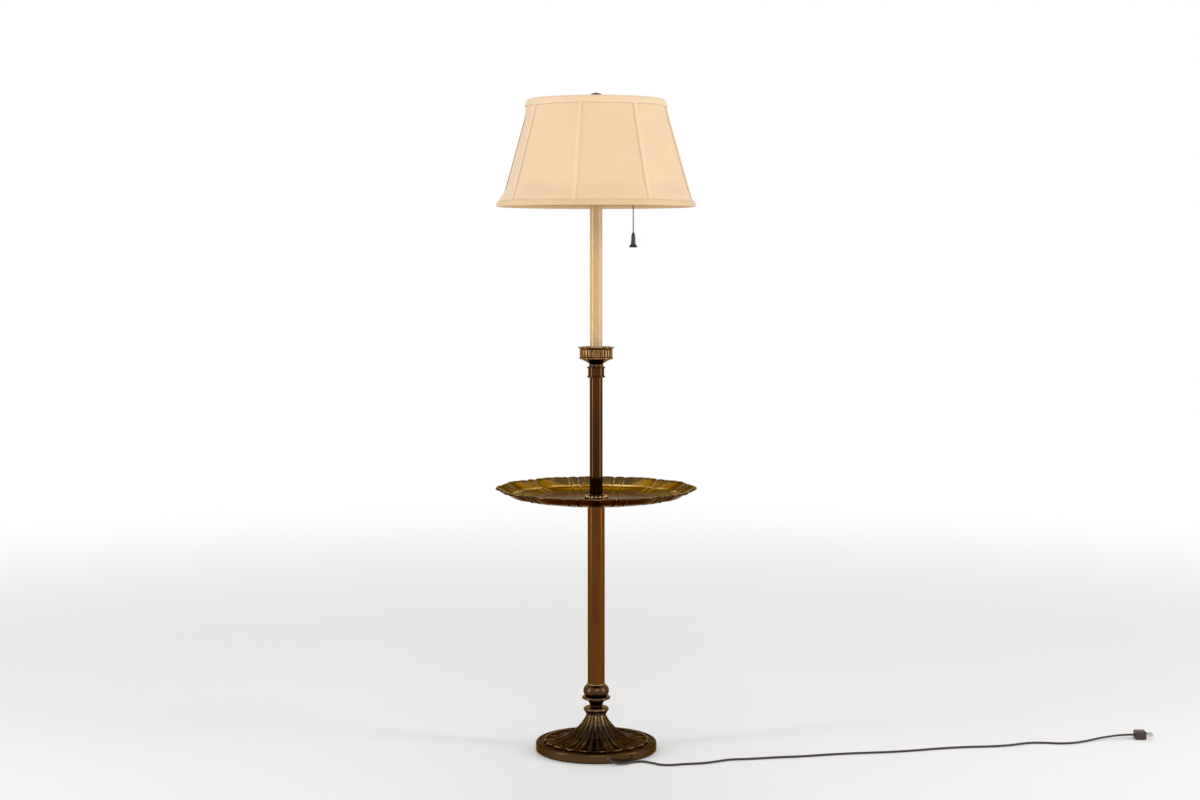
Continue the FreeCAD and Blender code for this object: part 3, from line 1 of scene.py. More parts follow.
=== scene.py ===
import bpy
import bmesh
import math
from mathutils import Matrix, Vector


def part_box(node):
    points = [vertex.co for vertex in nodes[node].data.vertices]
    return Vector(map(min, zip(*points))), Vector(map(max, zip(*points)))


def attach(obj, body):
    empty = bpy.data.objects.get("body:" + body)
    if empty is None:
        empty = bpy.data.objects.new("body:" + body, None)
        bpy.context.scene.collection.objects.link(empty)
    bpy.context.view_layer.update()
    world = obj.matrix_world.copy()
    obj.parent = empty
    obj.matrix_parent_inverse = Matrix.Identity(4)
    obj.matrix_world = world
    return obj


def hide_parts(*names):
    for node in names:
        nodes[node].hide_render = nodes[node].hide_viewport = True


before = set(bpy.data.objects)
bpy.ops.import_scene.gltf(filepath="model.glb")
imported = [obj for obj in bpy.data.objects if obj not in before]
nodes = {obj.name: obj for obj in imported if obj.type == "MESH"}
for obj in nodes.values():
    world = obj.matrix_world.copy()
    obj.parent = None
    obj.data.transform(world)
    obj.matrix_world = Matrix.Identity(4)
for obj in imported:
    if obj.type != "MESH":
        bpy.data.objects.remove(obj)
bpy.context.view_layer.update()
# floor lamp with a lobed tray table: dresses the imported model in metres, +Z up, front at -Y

scene = bpy.context.scene
print("frame loaded:", len(nodes), "CAD nodes")


def bearingAngle(bearing):
    # bearing in degrees right of the front, as an angle from +X
    return math.radians(bearing - 90)


def smoothStep(value):
    # 0 to 1, eased at both ends
    value = min(max(value, 0.0), 1.0)
    return value * value * (3 - 2 * value)


# from about a metre up, looking a little down
cameraView = {"lens": 60.3, "sensor": 36, "clip": 50, "place": (0.00845, -4.400, 1.100), "pitch": 85.82}


def setCamera(view):
    data = bpy.data.cameras.new("photoCamera")
    data.lens = view["lens"]
    data.sensor_width = view["sensor"]
    data.clip_end = view["clip"]
    camera = bpy.data.objects.new("photoCamera", data)
    camera.location = view["place"]
    camera.rotation_euler = (math.radians(view["pitch"]), 0, 0)
    scene.collection.objects.link(camera)
    scene.camera = camera


setCamera(cameraView)
print("camera placed")


# the cord takes the same route as its solid: straight out of the bushing, then along the floor
cordLook = {
    "radius": 0.0023, "length": 1.262, "exitBearing": 11.5, "exitRadius": 0.1356, "exitHeight": 0.010,
    "straight": 0.009, "order": 3, "steps": 8, "roundness": 4,
}
cordRoute = [
    (0.0440, -0.1475, 0.0052), (0.0630, -0.1375, 0.0030), (0.0810, -0.1200, 0.0024),
    (0.1010, -0.1145, 0.0024), (0.1210, -0.1280, 0.0024), (0.1400, -0.1465, 0.0024),
    (0.1630, -0.1480, 0.0024), (0.1900, -0.1375, 0.0024), (0.2300, -0.1330, 0.0024),
    (0.2610, -0.1160, 0.0024), (0.2910, -0.0980, 0.0024), (0.3360, -0.0945, 0.0024),
    (0.3900, -0.0805, 0.0024), (0.4500, -0.0725, 0.0024), (0.5080, -0.0560, 0.0024),
    (0.5710, -0.0435, 0.0024), (0.6340, -0.0360, 0.0024), (0.6980, -0.0220, 0.0024),
    (0.7600, -0.0015, 0.0024), (0.8230, 0.0120, 0.0024), (0.8830, 0.0165, 0.0024),
    (0.9300, 0.0290, 0.0024), (0.9660, 0.0490, 0.0024), (1.0040, 0.0515, 0.0024),
    (1.0410, 0.0430, 0.0024), (1.0750, 0.0485, 0.0024), (1.1070, 0.0670, 0.0026),
    (1.1400, 0.0860, 0.0044), (1.1740, 0.0945, 0.0074), (1.2030, 0.0970, 0.0095),
    (1.2220, 0.0970, 0.0095),
]


def makePowerCord(look, route):
    angle = bearingAngle(look["exitBearing"])
    out = Vector((math.cos(angle), math.sin(angle), 0))
    face = out * look["exitRadius"] + Vector((0, 0, look["exitHeight"]))
    points = [face, face + out * look["straight"]] + [Vector(point) for point in route]
    curve = bpy.data.curves.new("powerCord", "CURVE")
    curve.dimensions = "3D"
    spline = curve.splines.new("NURBS")
    spline.points.add(len(points) - 1)
    for point, place in zip(spline.points, points):
        point.co = (place.x, place.y, place.z, 1)
        point.radius = look["radius"]
    spline.order_u = look["order"]
    spline.use_endpoint_u = True
    spline.resolution_u = look["steps"]
    curve.bevel_depth = 1.0  # the points carry the radius, which keeps the curve's box tight
    curve.bevel_resolution = look["roundness"]
    curve.use_fill_caps = True
    cord = bpy.data.objects.new("powerCord", curve)
    scene.collection.objects.link(cord)
    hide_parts("power_cord")
    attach(cord, "lamp")
    return cord


powerCord = makePowerCord(cordLook, cordRoute)
print("power cord laid")


def linkMesh(name, mesh, smooth=True):
    if smooth:
        mesh.polygons.foreach_set("use_smooth", [True] * len(mesh.polygons))
    piece = bpy.data.objects.new(name, mesh)
    scene.collection.objects.link(piece)
    return piece


def meshObject(name, vertices, faces, smooth=True):
    mesh = bpy.data.meshes.new(name)
    mesh.from_pydata(vertices, [], faces)
    mesh.update()
    return linkMesh(name, mesh, smooth)


def ringGrid(rows, around, closedRows=False):
    # faces between rings of equal vertex count, each ring closed on itself
    faces = []
    last = rows if closedRows else rows - 1
    for row in range(last):
        for step in range(around):
            a = row * around + step
            b = row * around + (step + 1) % around
            c = ((row + 1) % rows) * around + (step + 1) % around
            d = ((row + 1) % rows) * around + step
            faces.append((a, b, c, d))
    return faces


def sharpen(piece, angle):
    # keep creases crisp where faces meet at more than the angle
    bm = bmesh.new()
    bm.from_mesh(piece.data)
    for edge in bm.edges:
        if len(edge.link_faces) == 2 and edge.calc_face_angle() > math.radians(angle):
            edge.smooth = False
    bm.to_mesh(piece.data)
    bm.free()


def addBall(bm, centre, radius, segments=16, rings=10):
    made = bmesh.ops.create_uvsphere(bm, u_segments=segments, v_segments=rings, radius=radius)
    bmesh.ops.translate(bm, vec=centre, verts=made["verts"])


def closeMesh(name, bm):
    mesh = bpy.data.meshes.new(name)
    bm.to_mesh(mesh)
    bm.free()
    return linkMesh(name, mesh)


# tray: a lobed sheet with a ledge and a rolled lip, whose waves drift by an amount and a count
trayShape = {
    "level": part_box("tray")[0].z, "lobes": 12, "smallLobe": 6.6, "crease": 0.213, "wide": 0.222,
    "small": 0.217, "creaseDip": 0.0022, "creaseWidth": 1.4, "dipRise": 1.6, "lipDip": 0.55,
    "lipWave": 0.0009, "lipWaves": 61, "lipDrift": (2, 7), "around": 720, "sharp": 50,
}
# radius, height above the tray's foot, share of the lobes: up the inside, over the lip and back underneath
trayProfile = [
    (0.0052, 0.0016, 0.0), (0.0300, 0.0016, 0.0), (0.0800, 0.0016, 0.0), (0.1200, 0.0016, 0.0),
    (0.1370, 0.0016, 0.0), (0.1395, 0.0021, 0.0), (0.1415, 0.0021, 0.0), (0.1430, 0.0017, 0.0),
    (0.1470, 0.0020, 0.04), (0.1520, 0.0028, 0.16), (0.1590, 0.0044, 0.34), (0.1660, 0.0063, 0.48),
    (0.1720, 0.0078, 0.60), (0.1770, 0.0087, 0.68), (0.1800, 0.0090, 0.73), (0.1820, 0.0100, 0.75),
    (0.1842, 0.0106, 0.77), (0.1864, 0.0102, 0.79), (0.1880, 0.0098, 0.80), (0.1905, 0.0108, 0.82),
    (0.1950, 0.0132, 0.85), (0.2000, 0.0158, 0.88), (0.2050, 0.0186, 0.92), (0.2095, 0.0212, 0.95),
    (0.2130, 0.0233, 0.98), (0.2150, 0.0250, 1.0), (0.2164, 0.0265, 1.0), (0.2182, 0.0274, 1.0),
    (0.2200, 0.0273, 1.0), (0.2213, 0.0264, 1.0), (0.2218, 0.0250, 1.0), (0.2214, 0.0236, 1.0),
    (0.2201, 0.0225, 1.0), (0.2184, 0.0221, 1.0), (0.2166, 0.0227, 1.0), (0.2148, 0.0225, 0.98),
    (0.2105, 0.0198, 0.95), (0.2055, 0.0169, 0.92), (0.2005, 0.0140, 0.88), (0.1955, 0.0113, 0.85),
    (0.1910, 0.0088, 0.82), (0.1880, 0.0079, 0.80), (0.1842, 0.0086, 0.77), (0.1805, 0.0072, 0.73),
    (0.1770, 0.0069, 0.68), (0.1720, 0.0060, 0.60), (0.1660, 0.0045, 0.48), (0.1590, 0.0026, 0.34),
    (0.1520, 0.0010, 0.16), (0.1470, 0.0002, 0.04), (0.1370, 0.0, 0.0), (0.1200, 0.0, 0.0),
    (0.0800, 0.0, 0.0), (0.0300, 0.0, 0.0), (0.0052, 0.0, 0.0),
]


def lobeAt(angle, shape):
    # rim radius over the widest one, and how near the angle is to a crease
    pitch = 360 / shape["lobes"]
    local = (math.degrees(angle) + pitch / 2) % pitch - pitch / 2
    half = (pitch - shape["smallLobe"]) / 2
    if abs(local) <= half:
        part = abs(local) / half
        rise = shape["wide"] - shape["crease"]
    else:
        part = (pitch / 2 - abs(local)) / (shape["smallLobe"] / 2)
        rise = shape["small"] - shape["crease"]
    radius = shape["crease"] + rise * (1 - part * part)
    return radius / shape["wide"], smoothStep(1 - abs(abs(local) - half) / shape["creaseWidth"])


def makeTray(shape, profile):
    angles = [2 * math.pi * step / shape["around"] for step in range(shape["around"])]
    lobes = [lobeAt(angle, shape) for angle in angles]
    drift, drifts = shape["lipDrift"]
    vertices = []
    for radius, height, share in profile:
        for angle, (reach, near) in zip(angles, lobes):
            distance = radius * (1 - share * (1 - reach))
            depth = min(share * shape["dipRise"], 1.0) if share < 1 else shape["lipDip"]
            dip = shape["creaseDip"] * near * depth
            if share == 1.0:
                wave = math.sin(shape["lipWaves"] * angle + drift * math.sin(drifts * angle))
                dip += shape["lipWave"] * (0.5 + 0.5 * wave)
            level = shape["level"] + max(height - dip, 0.0)
            vertices.append((distance * math.cos(angle), distance * math.sin(angle), level))
    faces = ringGrid(len(profile), shape["around"], closedRows=True)
    tray = meshObject("trayDish", vertices, faces)
    sharpen(tray, shape["sharp"])
    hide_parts("tray")
    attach(tray, "lamp")
    return tray


trayDish = makeTray(trayShape, trayProfile)
print("tray beaten")

# beads on the turned rings
ringBeads = {"count": 20, "radius": 0.0028, "ring": 0.0208, "height": 0.0028}
trayBeads = {"count": 16, "radius": 0.0036, "ring": 0.0220, "height": 0.0040}


def makeRingBeads(name, look, node):
    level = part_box(node)[0].z + look["height"]
    bm = bmesh.new()
    for index in range(look["count"]):
        angle = 2 * math.pi * index / look["count"]
        spot = Vector((look["ring"] * math.cos(angle), look["ring"] * math.sin(angle), level))
        addBall(bm, spot, look["radius"])
    beads = closeMesh(name, bm)
    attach(beads, "lamp")
    return beads


spindleBeads = makeRingBeads("spindleBeads", ringBeads, "spindle")
trayRingBeads = makeRingBeads("trayRingBeads", trayBeads, "tray_ring")


# candle cup: cone on a short neck, a roll, a wall of upright reeds and a flared rim
cupLook = {"reeds": 24, "depth": 0.0015, "steps": 16, "sharp": 45}
# radius, height above the cup's foot, share of the reeds
cupProfile = [
    (0.0052, 0.0000, 0.0), (0.0159, 0.0000, 0.0), (0.0162, 0.0012, 0.0), (0.0156, 0.0024, 0.0),
    (0.0150, 0.0038, 0.0), (0.0153, 0.0054, 0.0), (0.0168, 0.0072, 0.0), (0.0200, 0.0093, 0.0),
    (0.0240, 0.0114, 0.0), (0.0282, 0.0135, 0.0), (0.0322, 0.0153, 0.0), (0.0348, 0.0162, 0.0),
    (0.0364, 0.0169, 0.0), (0.0373, 0.0179, 0.0), (0.0375, 0.0190, 0.0), (0.0370, 0.0201, 0.0),
    (0.0361, 0.0208, 0.0), (0.0352, 0.0212, 0.0), (0.0355, 0.0216, 0.35), (0.0360, 0.0222, 0.8),
    (0.0362, 0.0232, 1.0), (0.0362, 0.0270, 1.0), (0.0362, 0.0310, 1.0), (0.0362, 0.0350, 1.0),
    (0.0362, 0.0366, 1.0), (0.0360, 0.0376, 0.8), (0.0356, 0.0382, 0.35), (0.0353, 0.0386, 0.0),
    (0.0364, 0.0392, 0.0), (0.0384, 0.0401, 0.0), (0.0402, 0.0411, 0.0), (0.0410, 0.0419, 0.0),
    (0.0409, 0.0426, 0.0), (0.0402, 0.0430, 0.0), (0.0388, 0.0430, 0.0), (0.0356, 0.0428, 0.0),
    (0.0347, 0.0420, 0.0), (0.0346, 0.0330, 0.0), (0.0346, 0.0215, 0.0), (0.0343, 0.0210, 0.0),
    (0.0240, 0.0210, 0.0), (0.0052, 0.0210, 0.0),
]


def makeCandleCup(look, profile):
    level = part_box("candle_cup")[0].z
    around = look["reeds"] * look["steps"]
    vertices = []
    for radius, height, share in profile:
        for step in range(around):
            angle = 2 * math.pi * step / around
            part = 2 * (step % look["steps"]) / look["steps"] - 1
            valley = look["depth"] * (1 - math.sqrt(max(1 - part * part, 0.0))) * share
            distance = radius - valley
            vertices.append((distance * math.cos(angle), distance * math.sin(angle), level + height))
    cup = meshObject("candleCup", vertices, ringGrid(len(profile), around, closedRows=True))
    sharpen(cup, look["sharp"])
    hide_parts("candle_cup")
    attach(cup, "lamp")
    return cup


candleCup = makeCandleCup(cupLook, cupProfile)


# each chain is beads on a wire; the right one ends in the bell, the left one in a ball
chainLook = {
    "bead": 0.0017, "pitch": 0.0042, "wire": 0.0005, "wireSides": 10, "rightLength": 0.099,
    "leftLength": 0.027, "intoBell": 0.004, "endBall": 0.0030,
}


def makeChain(side, look):
    low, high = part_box(side + "_chain")
    middle = (low + high) / 2
    pivot = high.z - look["bead"]
    length = look[side + "Length"]
    reach = length - (look["intoBell"] if side == "right" else 2 * look["endBall"])
    bm = bmesh.new()
    for index in range(int(reach / look["pitch"]) + 1):
        addBall(bm, (middle.x, middle.y, pivot - look["pitch"] * index), look["bead"])
    made = bmesh.ops.create_cone(bm, cap_ends=True, segments=look["wireSides"], radius1=look["wire"],
                                 radius2=look["wire"], depth=length)
    bmesh.ops.translate(bm, vec=(middle.x, middle.y, pivot - length / 2), verts=made["verts"])
    if side == "left":
        foot = (middle.x, middle.y, pivot - length + look["endBall"])
        addBall(bm, foot, look["endBall"], segments=20, rings=12)
    beads = closeMesh(side + "ChainBeads", bm)
    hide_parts(side + "_chain")
    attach(beads, side + "_swing")
    return beads


chains = [makeChain("right", chainLook), makeChain("left", chainLook)]
print("beads and chains strung")

# shade: fabric panels over ribs
shadeShape = {
    "base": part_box("shade_cover")[0].z, "height": 0.230, "topRadius": 0.149, "bottomRadius": 0.2155,
    "panels": 8, "turned": bearingAngle(32.3), "flatness": 0.88, "trim": 0.0125, "ease": 0.038,
    "sag": 0.0012, "hem": 0.0012, "inset": 0.0004, "across": 24, "rows": 60,
}


def shadeRadius(shape, height):
    slope = (shape["bottomRadius"] - shape["topRadius"]) / shape["height"]
    return shape["bottomRadius"] - slope * height


def panelFlatness(shape, height):
    low = smoothStep((height - shape["trim"]) / shape["ease"])
    high = smoothStep((shape["height"] - shape["trim"] - height) / shape["ease"])
    return shape["flatness"] * min(low, high)


def panelPoint(shape, height, turn, inset):
    # turn runs round the shade; whole numbers are ribs
    part = turn % 1.0
    pitch = 2 * math.pi / shape["panels"]
    local = (part - 0.5) * pitch
    flat = panelFlatness(shape, height)
    chord = math.cos(pitch / 2) / math.cos(local)
    share = 1 + (chord - 1) * flat
    drawn = shape["sag"] * flat * (1 - (2 * part - 1) ** 2) / shape["flatness"]
    radius = shadeRadius(shape, height) * share - drawn - inset
    angle = shape["turned"] + turn * pitch
    return Vector((radius * math.cos(angle), radius * math.sin(angle), shape["base"] + height))


def panelSheet(name, shape, low, high, inset):
    rows, across = shape["rows"], shape["across"] * shape["panels"]
    vertices = []
    for row in range(rows + 1):
        height = low + (high - low) * row / rows
        for step in range(across):
            vertices.append(panelPoint(shape, height, step / shape["across"], inset))
    return meshObject(name, vertices, ringGrid(rows + 1, across))


def makeCover(shape):
    cover = panelSheet("shadeCover", shape, shape["hem"], shape["height"] - shape["hem"], shape["inset"])
    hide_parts("shade_cover")
    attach(cover, "shade")
    return cover


liningLook = {"inset": 0.0047, "low": 0.0052, "high": 0.0096}


def makeLining(shape, look):
    lining = panelSheet("shadeLining", shape, look["low"], shape["height"] - look["high"], look["inset"])
    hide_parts("shade_lining")
    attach(lining, "shade")
    return lining


# folds are depth and leg; waves are count, phase and share; the puffs drift by an amount and a count
trimLook = {
    "bottom": 0.0118, "top": 0.0150, "foldBottom": (0.0062, 0.0064), "foldTop": (0.0054, 0.0036),
    "cloth": 0.0006, "lift": 0.0006, "proud": 0.0030, "crown": (2.6, 0.6), "crownSteps": 16,
    "wave": 0.0005, "waves": [(5, 1, 1.0), (13, 2, 0.7), (31, 0, 0.5)], "waveFrom": 0.004,
    "puff": 0.05, "puffs": 23, "puffDrift": (3, 5), "around": 320, "sharp": 70,
}


def trimSection(look, tall, fold):
    # distance out from the fabric, and distance in from the edge: soft front, then the fold round the wire
    deep, leg = fold
    cloth = look["cloth"]
    section = [
        (0.0003, tall), (0.0003, 0.0008), (-0.0004, 0.0004), (-deep + 0.0010, 0.0004), (-deep, 0.0012),
        (-deep, leg), (-deep - cloth, leg), (-deep - cloth, 0.0008), (-deep + 0.0006, -0.0005),
        (-0.0020, -0.0008), (0.0004, -0.0006),
    ]
    blunt, full = look["crown"]
    for step in range(look["crownSteps"] + 1):
        part = step / look["crownSteps"]
        crown = (1 - abs(2 * part - 1) ** blunt) ** full
        section.append((look["lift"] + (look["proud"] - look["lift"]) * crown, tall * part))
    return section


def makeTrimBand(name, shape, look, top, node):
    tall = look["top"] if top else look["bottom"]
    drift, drifts = look["puffDrift"]
    vertices = []
    section = trimSection(look, tall, look["foldTop"] if top else look["foldBottom"])
    for proud, inward in section:
        waving = smoothStep((inward - look["waveFrom"]) / (tall - look["waveFrom"])) * (proud >= 0)
        for step in range(look["around"]):
            angle = 2 * math.pi * step / look["around"]
            wave = sum(share * math.sin(count * angle + phase) for count, phase, share in look["waves"])
            height = inward + look["wave"] * wave * waving
            height = shape["height"] - height if top else height
            swell = math.sin(look["puffs"] * angle + drift * math.sin(drifts * angle))
            radius = shadeRadius(shape, height) + proud * (1 + look["puff"] * swell * (proud > 0))
            vertices.append((radius * math.cos(angle), radius * math.sin(angle), shape["base"] + height))
    band = meshObject(name, vertices, ringGrid(len(section), look["around"], closedRows=True))
    sharpen(band, look["sharp"])
    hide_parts(node)
    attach(band, "shade")
    return band


# strips over the ribs: they start under the trims, and their edges lean back with the panels
ribTrimLook = {
    "width": 0.0088, "thick": 0.0013, "edge": (0.35, 0.65), "fullness": 5, "points": 12, "rows": 40,
    "start": 0.8, "lean": 0.8, "under": 0.0002, "sharp": 60,
}


def ribTrimSection(look):
    # offset from the rib's line and height over the fabric: across the crown, then back underneath
    edge, crown = look["edge"]
    section = []
    for step in range(look["points"] + 1):
        part = step / look["points"] * 2 - 1
        thick = look["thick"] * (edge + crown * (1 - abs(part) ** look["fullness"]))
        section.append((part * look["width"] / 2, thick))
    return section + [(point[0], look["under"]) for point in reversed(section)]


def makeRibTrims(shape, look):
    low, high = shape["trim"] * look["start"], shape["height"] - shape["trim"] * look["start"]
    section = ribTrimSection(look)
    rows, wide = look["rows"], len(section)
    vertices, faces = [], []
    for rib in range(shape["panels"]):
        angle = shape["turned"] + 2 * math.pi * rib / shape["panels"]
        out = Vector((math.cos(angle), math.sin(angle), 0))
        across = Vector((-math.sin(angle), math.cos(angle), 0))
        start = len(vertices)
        for row in range(rows + 1):
            height = low + (high - low) * row / rows
            flat = panelFlatness(shape, height)
            level = Vector((0, 0, shape["base"] + height))
            for offset, thick in section:
                fall = abs(offset) * math.tan(math.pi / shape["panels"]) * flat * look["lean"]
                vertices.append(out * (shadeRadius(shape, height) + thick - fall) + across * offset + level)
        for row in range(rows):
            for step in range(wide):
                a = start + row * wide + step
                b = start + row * wide + (step + 1) % wide
                faces.append((a, b, b + wide, a + wide))
        faces.append(tuple(range(start + wide - 1, start - 1, -1)))
        faces.append(tuple(range(start + rows * wide, start + (rows + 1) * wide)))
    strips = meshObject("ribTrims", vertices, faces)
    sharpen(strips, look["sharp"])
    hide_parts("rib_trims")
    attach(strips, "shade")
    return strips


shadeCover = makeCover(shadeShape)
shadeLining = makeLining(shadeShape, liningLook)
bottomTrim = makeTrimBand("bottomTrim", shadeShape, trimLook, False, "bottom_trim")
topTrim = makeTrimBand("topTrim", shadeShape, trimLook, True, "top_trim")
ribTrims = makeRibTrims(shadeShape, ribTrimLook)
print("shade sewn")


def newFinish(name):
    finish = bpy.data.materials.new(name)
    finish.use_nodes = True
    tree = finish.node_tree
    tree.nodes.clear()
    output = tree.nodes.new("ShaderNodeOutputMaterial")
    shader = tree.nodes.new("ShaderNodeBsdfPrincipled")
    tree.links.new(shader.outputs["BSDF"], output.inputs["Surface"])
    return finish, tree, shader


def addNode(tree, kind, **settings):
    node = tree.nodes.new("ShaderNode" + kind)
    for key, value in settings.items():
        setattr(node, key, value)
    return node


def feed(tree, socket, value):
    # a number or a colour is set on the socket, anything else is linked to it
    if isinstance(value, (int, float)):
        socket.default_value = value
    elif isinstance(value, tuple):
        socket.default_value = (*value, 1)
    else:
        tree.links.new(value, socket)


def calc(tree, operation, *values):
    node = addNode(tree, "Math", operation=operation)
    for socket, value in zip(node.inputs, values):
        feed(tree, socket, value)
    return node.outputs[0]


def times(tree, product, *factors):
    for factor in factors:
        product = calc(tree, "MULTIPLY", product, factor)
    return product


def objectPlace(tree, stretch):
    coords = addNode(tree, "TexCoord")
    mapping = addNode(tree, "Mapping")
    mapping.inputs["Scale"].default_value = stretch
    tree.links.new(coords.outputs["Object"], mapping.inputs["Vector"])
    return mapping.outputs["Vector"]


def mottle(tree, scale, detail=4.0, stretch=(1, 1, 1)):
    noise = addNode(tree, "TexNoise")
    noise.inputs["Scale"].default_value = scale
    noise.inputs["Detail"].default_value = detail
    noise.inputs["Roughness"].default_value = 0.6
    tree.links.new(objectPlace(tree, stretch), noise.inputs["Vector"])
    return noise.outputs["Fac"]


def shades(tree, factor, stops):
    ramp = addNode(tree, "ValToRGB")
    elements = ramp.color_ramp.elements
    for index, (spot, colour) in enumerate(stops):
        element = elements[index] if index < 2 else elements.new(spot)  # a new ramp has two
        element.position = spot
        element.color = (*colour, 1)
    tree.links.new(factor, ramp.inputs["Fac"])
    return ramp.outputs["Color"]


def spread(tree, factor, low, high):
    span = addNode(tree, "MapRange")
    span.inputs["To Min"].default_value = low
    span.inputs["To Max"].default_value = high
    tree.links.new(factor, span.inputs["Value"])
    return span.outputs["Result"]


def fade(tree, value, start, end):
    # 0 at start, 1 at end, eased; start may be the larger
    span = addNode(tree, "MapRange", interpolation_type="SMOOTHSTEP")
    span.inputs["From Min"].default_value = min(start, end)
    span.inputs["From Max"].default_value = max(start, end)
    span.inputs["To Min"].default_value = 0.0 if start < end else 1.0
    span.inputs["To Max"].default_value = 1.0 if start < end else 0.0
    tree.links.new(value, span.inputs["Value"])
    return span.outputs["Result"]


def between(tree, value, rising, falling):
    return times(tree, fade(tree, value, *rising), fade(tree, value, *falling))


def axisRadius(tree):
    # the three coordinates, and the distance from the column's axis
    coords = addNode(tree, "TexCoord")
    axes = addNode(tree, "SeparateXYZ")
    tree.links.new(coords.outputs["Object"], axes.inputs["Vector"])
    x, y, z = axes.outputs["X"], axes.outputs["Y"], axes.outputs["Z"]
    radius = calc(tree, "SQRT", calc(tree, "ADD", times(tree, x, x), times(tree, y, y)))
    return x, y, z, radius


def blendColours(tree, factor, first, second, kind="MIX"):
    # the factor is held between 0 and 1
    mix = addNode(tree, "Mix", data_type="RGBA", blend_type=kind)
    feed(tree, mix.inputs[0], factor)
    feed(tree, mix.inputs[6], first)
    feed(tree, mix.inputs[7], second)
    return mix.outputs[2]


def bumpFrom(tree, shader, factor, strength, depth):
    bump = addNode(tree, "Bump")
    bump.inputs["Strength"].default_value = strength
    bump.inputs["Distance"].default_value = depth
    tree.links.new(factor, bump.inputs["Height"])
    tree.links.new(bump.outputs["Normal"], shader.inputs["Normal"])


def colourAndRoughness(tree, shader, colour, roughness):
    tree.links.new(colour, shader.inputs["Base Color"])
    feed(tree, shader.inputs["Roughness"], roughness)


def makeMetallic(shader, tint):
    shader.inputs["Metallic"].default_value = 1.0
    shader.inputs["Specular Tint"].default_value = (*tint, 1)


# dark, mid and light are the patina's colours; rubAt is where the rubbing starts and is full, from the axis
metalLooks = {
    "spindleBronze": {"dark": (0.026, 0.012, 0.006), "mid": (0.062, 0.029, 0.013),
                      "light": (0.15, 0.078, 0.034), "rough": (0.10, 0.26), "scale": 42, "bump": 0.08,
                      "rubAt": (0.0238, 0.0268), "rub": (0.15, 0.085, 0.040)},
    "ballBronze": {"dark": (0.020, 0.010, 0.0055), "mid": (0.040, 0.021, 0.0105),
                   "light": (0.080, 0.048, 0.027), "rough": (0.12, 0.26), "scale": 40, "bump": 0.05,
                   "rubAt": (0.0215, 0.0245), "rub": (0.10, 0.054, 0.026)},
    "ringBrass": {"dark": (0.20, 0.12, 0.052), "mid": (0.34, 0.22, 0.10), "light": (0.50, 0.36, 0.19),
                  "rough": (0.20, 0.32), "scale": 60, "bump": 0.04},
    "tubeBrass": {"dark": (0.086, 0.031, 0.006), "mid": (0.130, 0.048, 0.0095),
                  "light": (0.185, 0.072, 0.015), "rough": (0.12, 0.26), "scale": 18, "bump": 0.04,
                  "stretch": (1, 1, 0.12)},
    "upperBrass": {"dark": (0.040, 0.0155, 0.0056), "mid": (0.068, 0.027, 0.0092),
                   "light": (0.118, 0.050, 0.019), "rough": (0.05, 0.15), "scale": 18, "bump": 0.02,
                   "stretch": (1, 1, 0.12)},
    "cupBrass": {"dark": (0.034, 0.016, 0.006), "mid": (0.075, 0.036, 0.013), "light": (0.15, 0.076, 0.030),
                 "rough": (0.05, 0.16), "scale": 24, "bump": 0.04, "rubAt": (0.0351, 0.0363),
                 "rub": (0.34, 0.180, 0.074)},
    "socketBrass": {"dark": (0.22, 0.135, 0.050), "mid": (0.36, 0.24, 0.095), "light": (0.48, 0.34, 0.15),
                    "rough": (0.26, 0.38), "scale": 30, "bump": 0.03},
    "chainBrass": {"dark": (0.045, 0.029, 0.015), "mid": (0.095, 0.062, 0.032), "light": (0.20, 0.14, 0.075),
                   "rough": (0.24, 0.40), "scale": 90, "bump": 0.03},
    "finialBronze": {"dark": (0.020, 0.011, 0.006), "mid": (0.045, 0.024, 0.013),
                     "light": (0.12, 0.070, 0.038), "rough": (0.24, 0.42), "scale": 70, "bump": 0.06},
    "wirePlated": {"dark": (0.40, 0.33, 0.20), "mid": (0.55, 0.47, 0.32), "light": (0.66, 0.60, 0.46),
                   "rough": (0.30, 0.42), "scale": 60, "bump": 0.02},
    "castIron": {"dark": (0.035, 0.034, 0.032), "mid": (0.075, 0.072, 0.068), "light": (0.12, 0.11, 0.10),
                 "rough": (0.55, 0.75), "scale": 120, "bump": 0.35},
    "brightSteel": {"dark": (0.34, 0.34, 0.34), "mid": (0.50, 0.50, 0.50), "light": (0.62, 0.62, 0.61),
                    "rough": (0.26, 0.38), "scale": 50, "bump": 0.02, "tint": (0.9, 0.9, 0.9)},
    "bushingZinc": {"dark": (0.060, 0.050, 0.040), "mid": (0.12, 0.102, 0.082), "light": (0.24, 0.21, 0.17),
                    "rough": (0.34, 0.50), "scale": 110, "bump": 0.12},
}
# what all the metals share; scales are times the metal's own
metalWear = {"stops": (0.30, 0.52, 0.72), "wearScale": 2.3, "rubSpread": (-0.2, 1.2),
             "tint": (0.66, 0.54, 0.40), "bumpScale": 9, "bumpDepth": 0.0004}


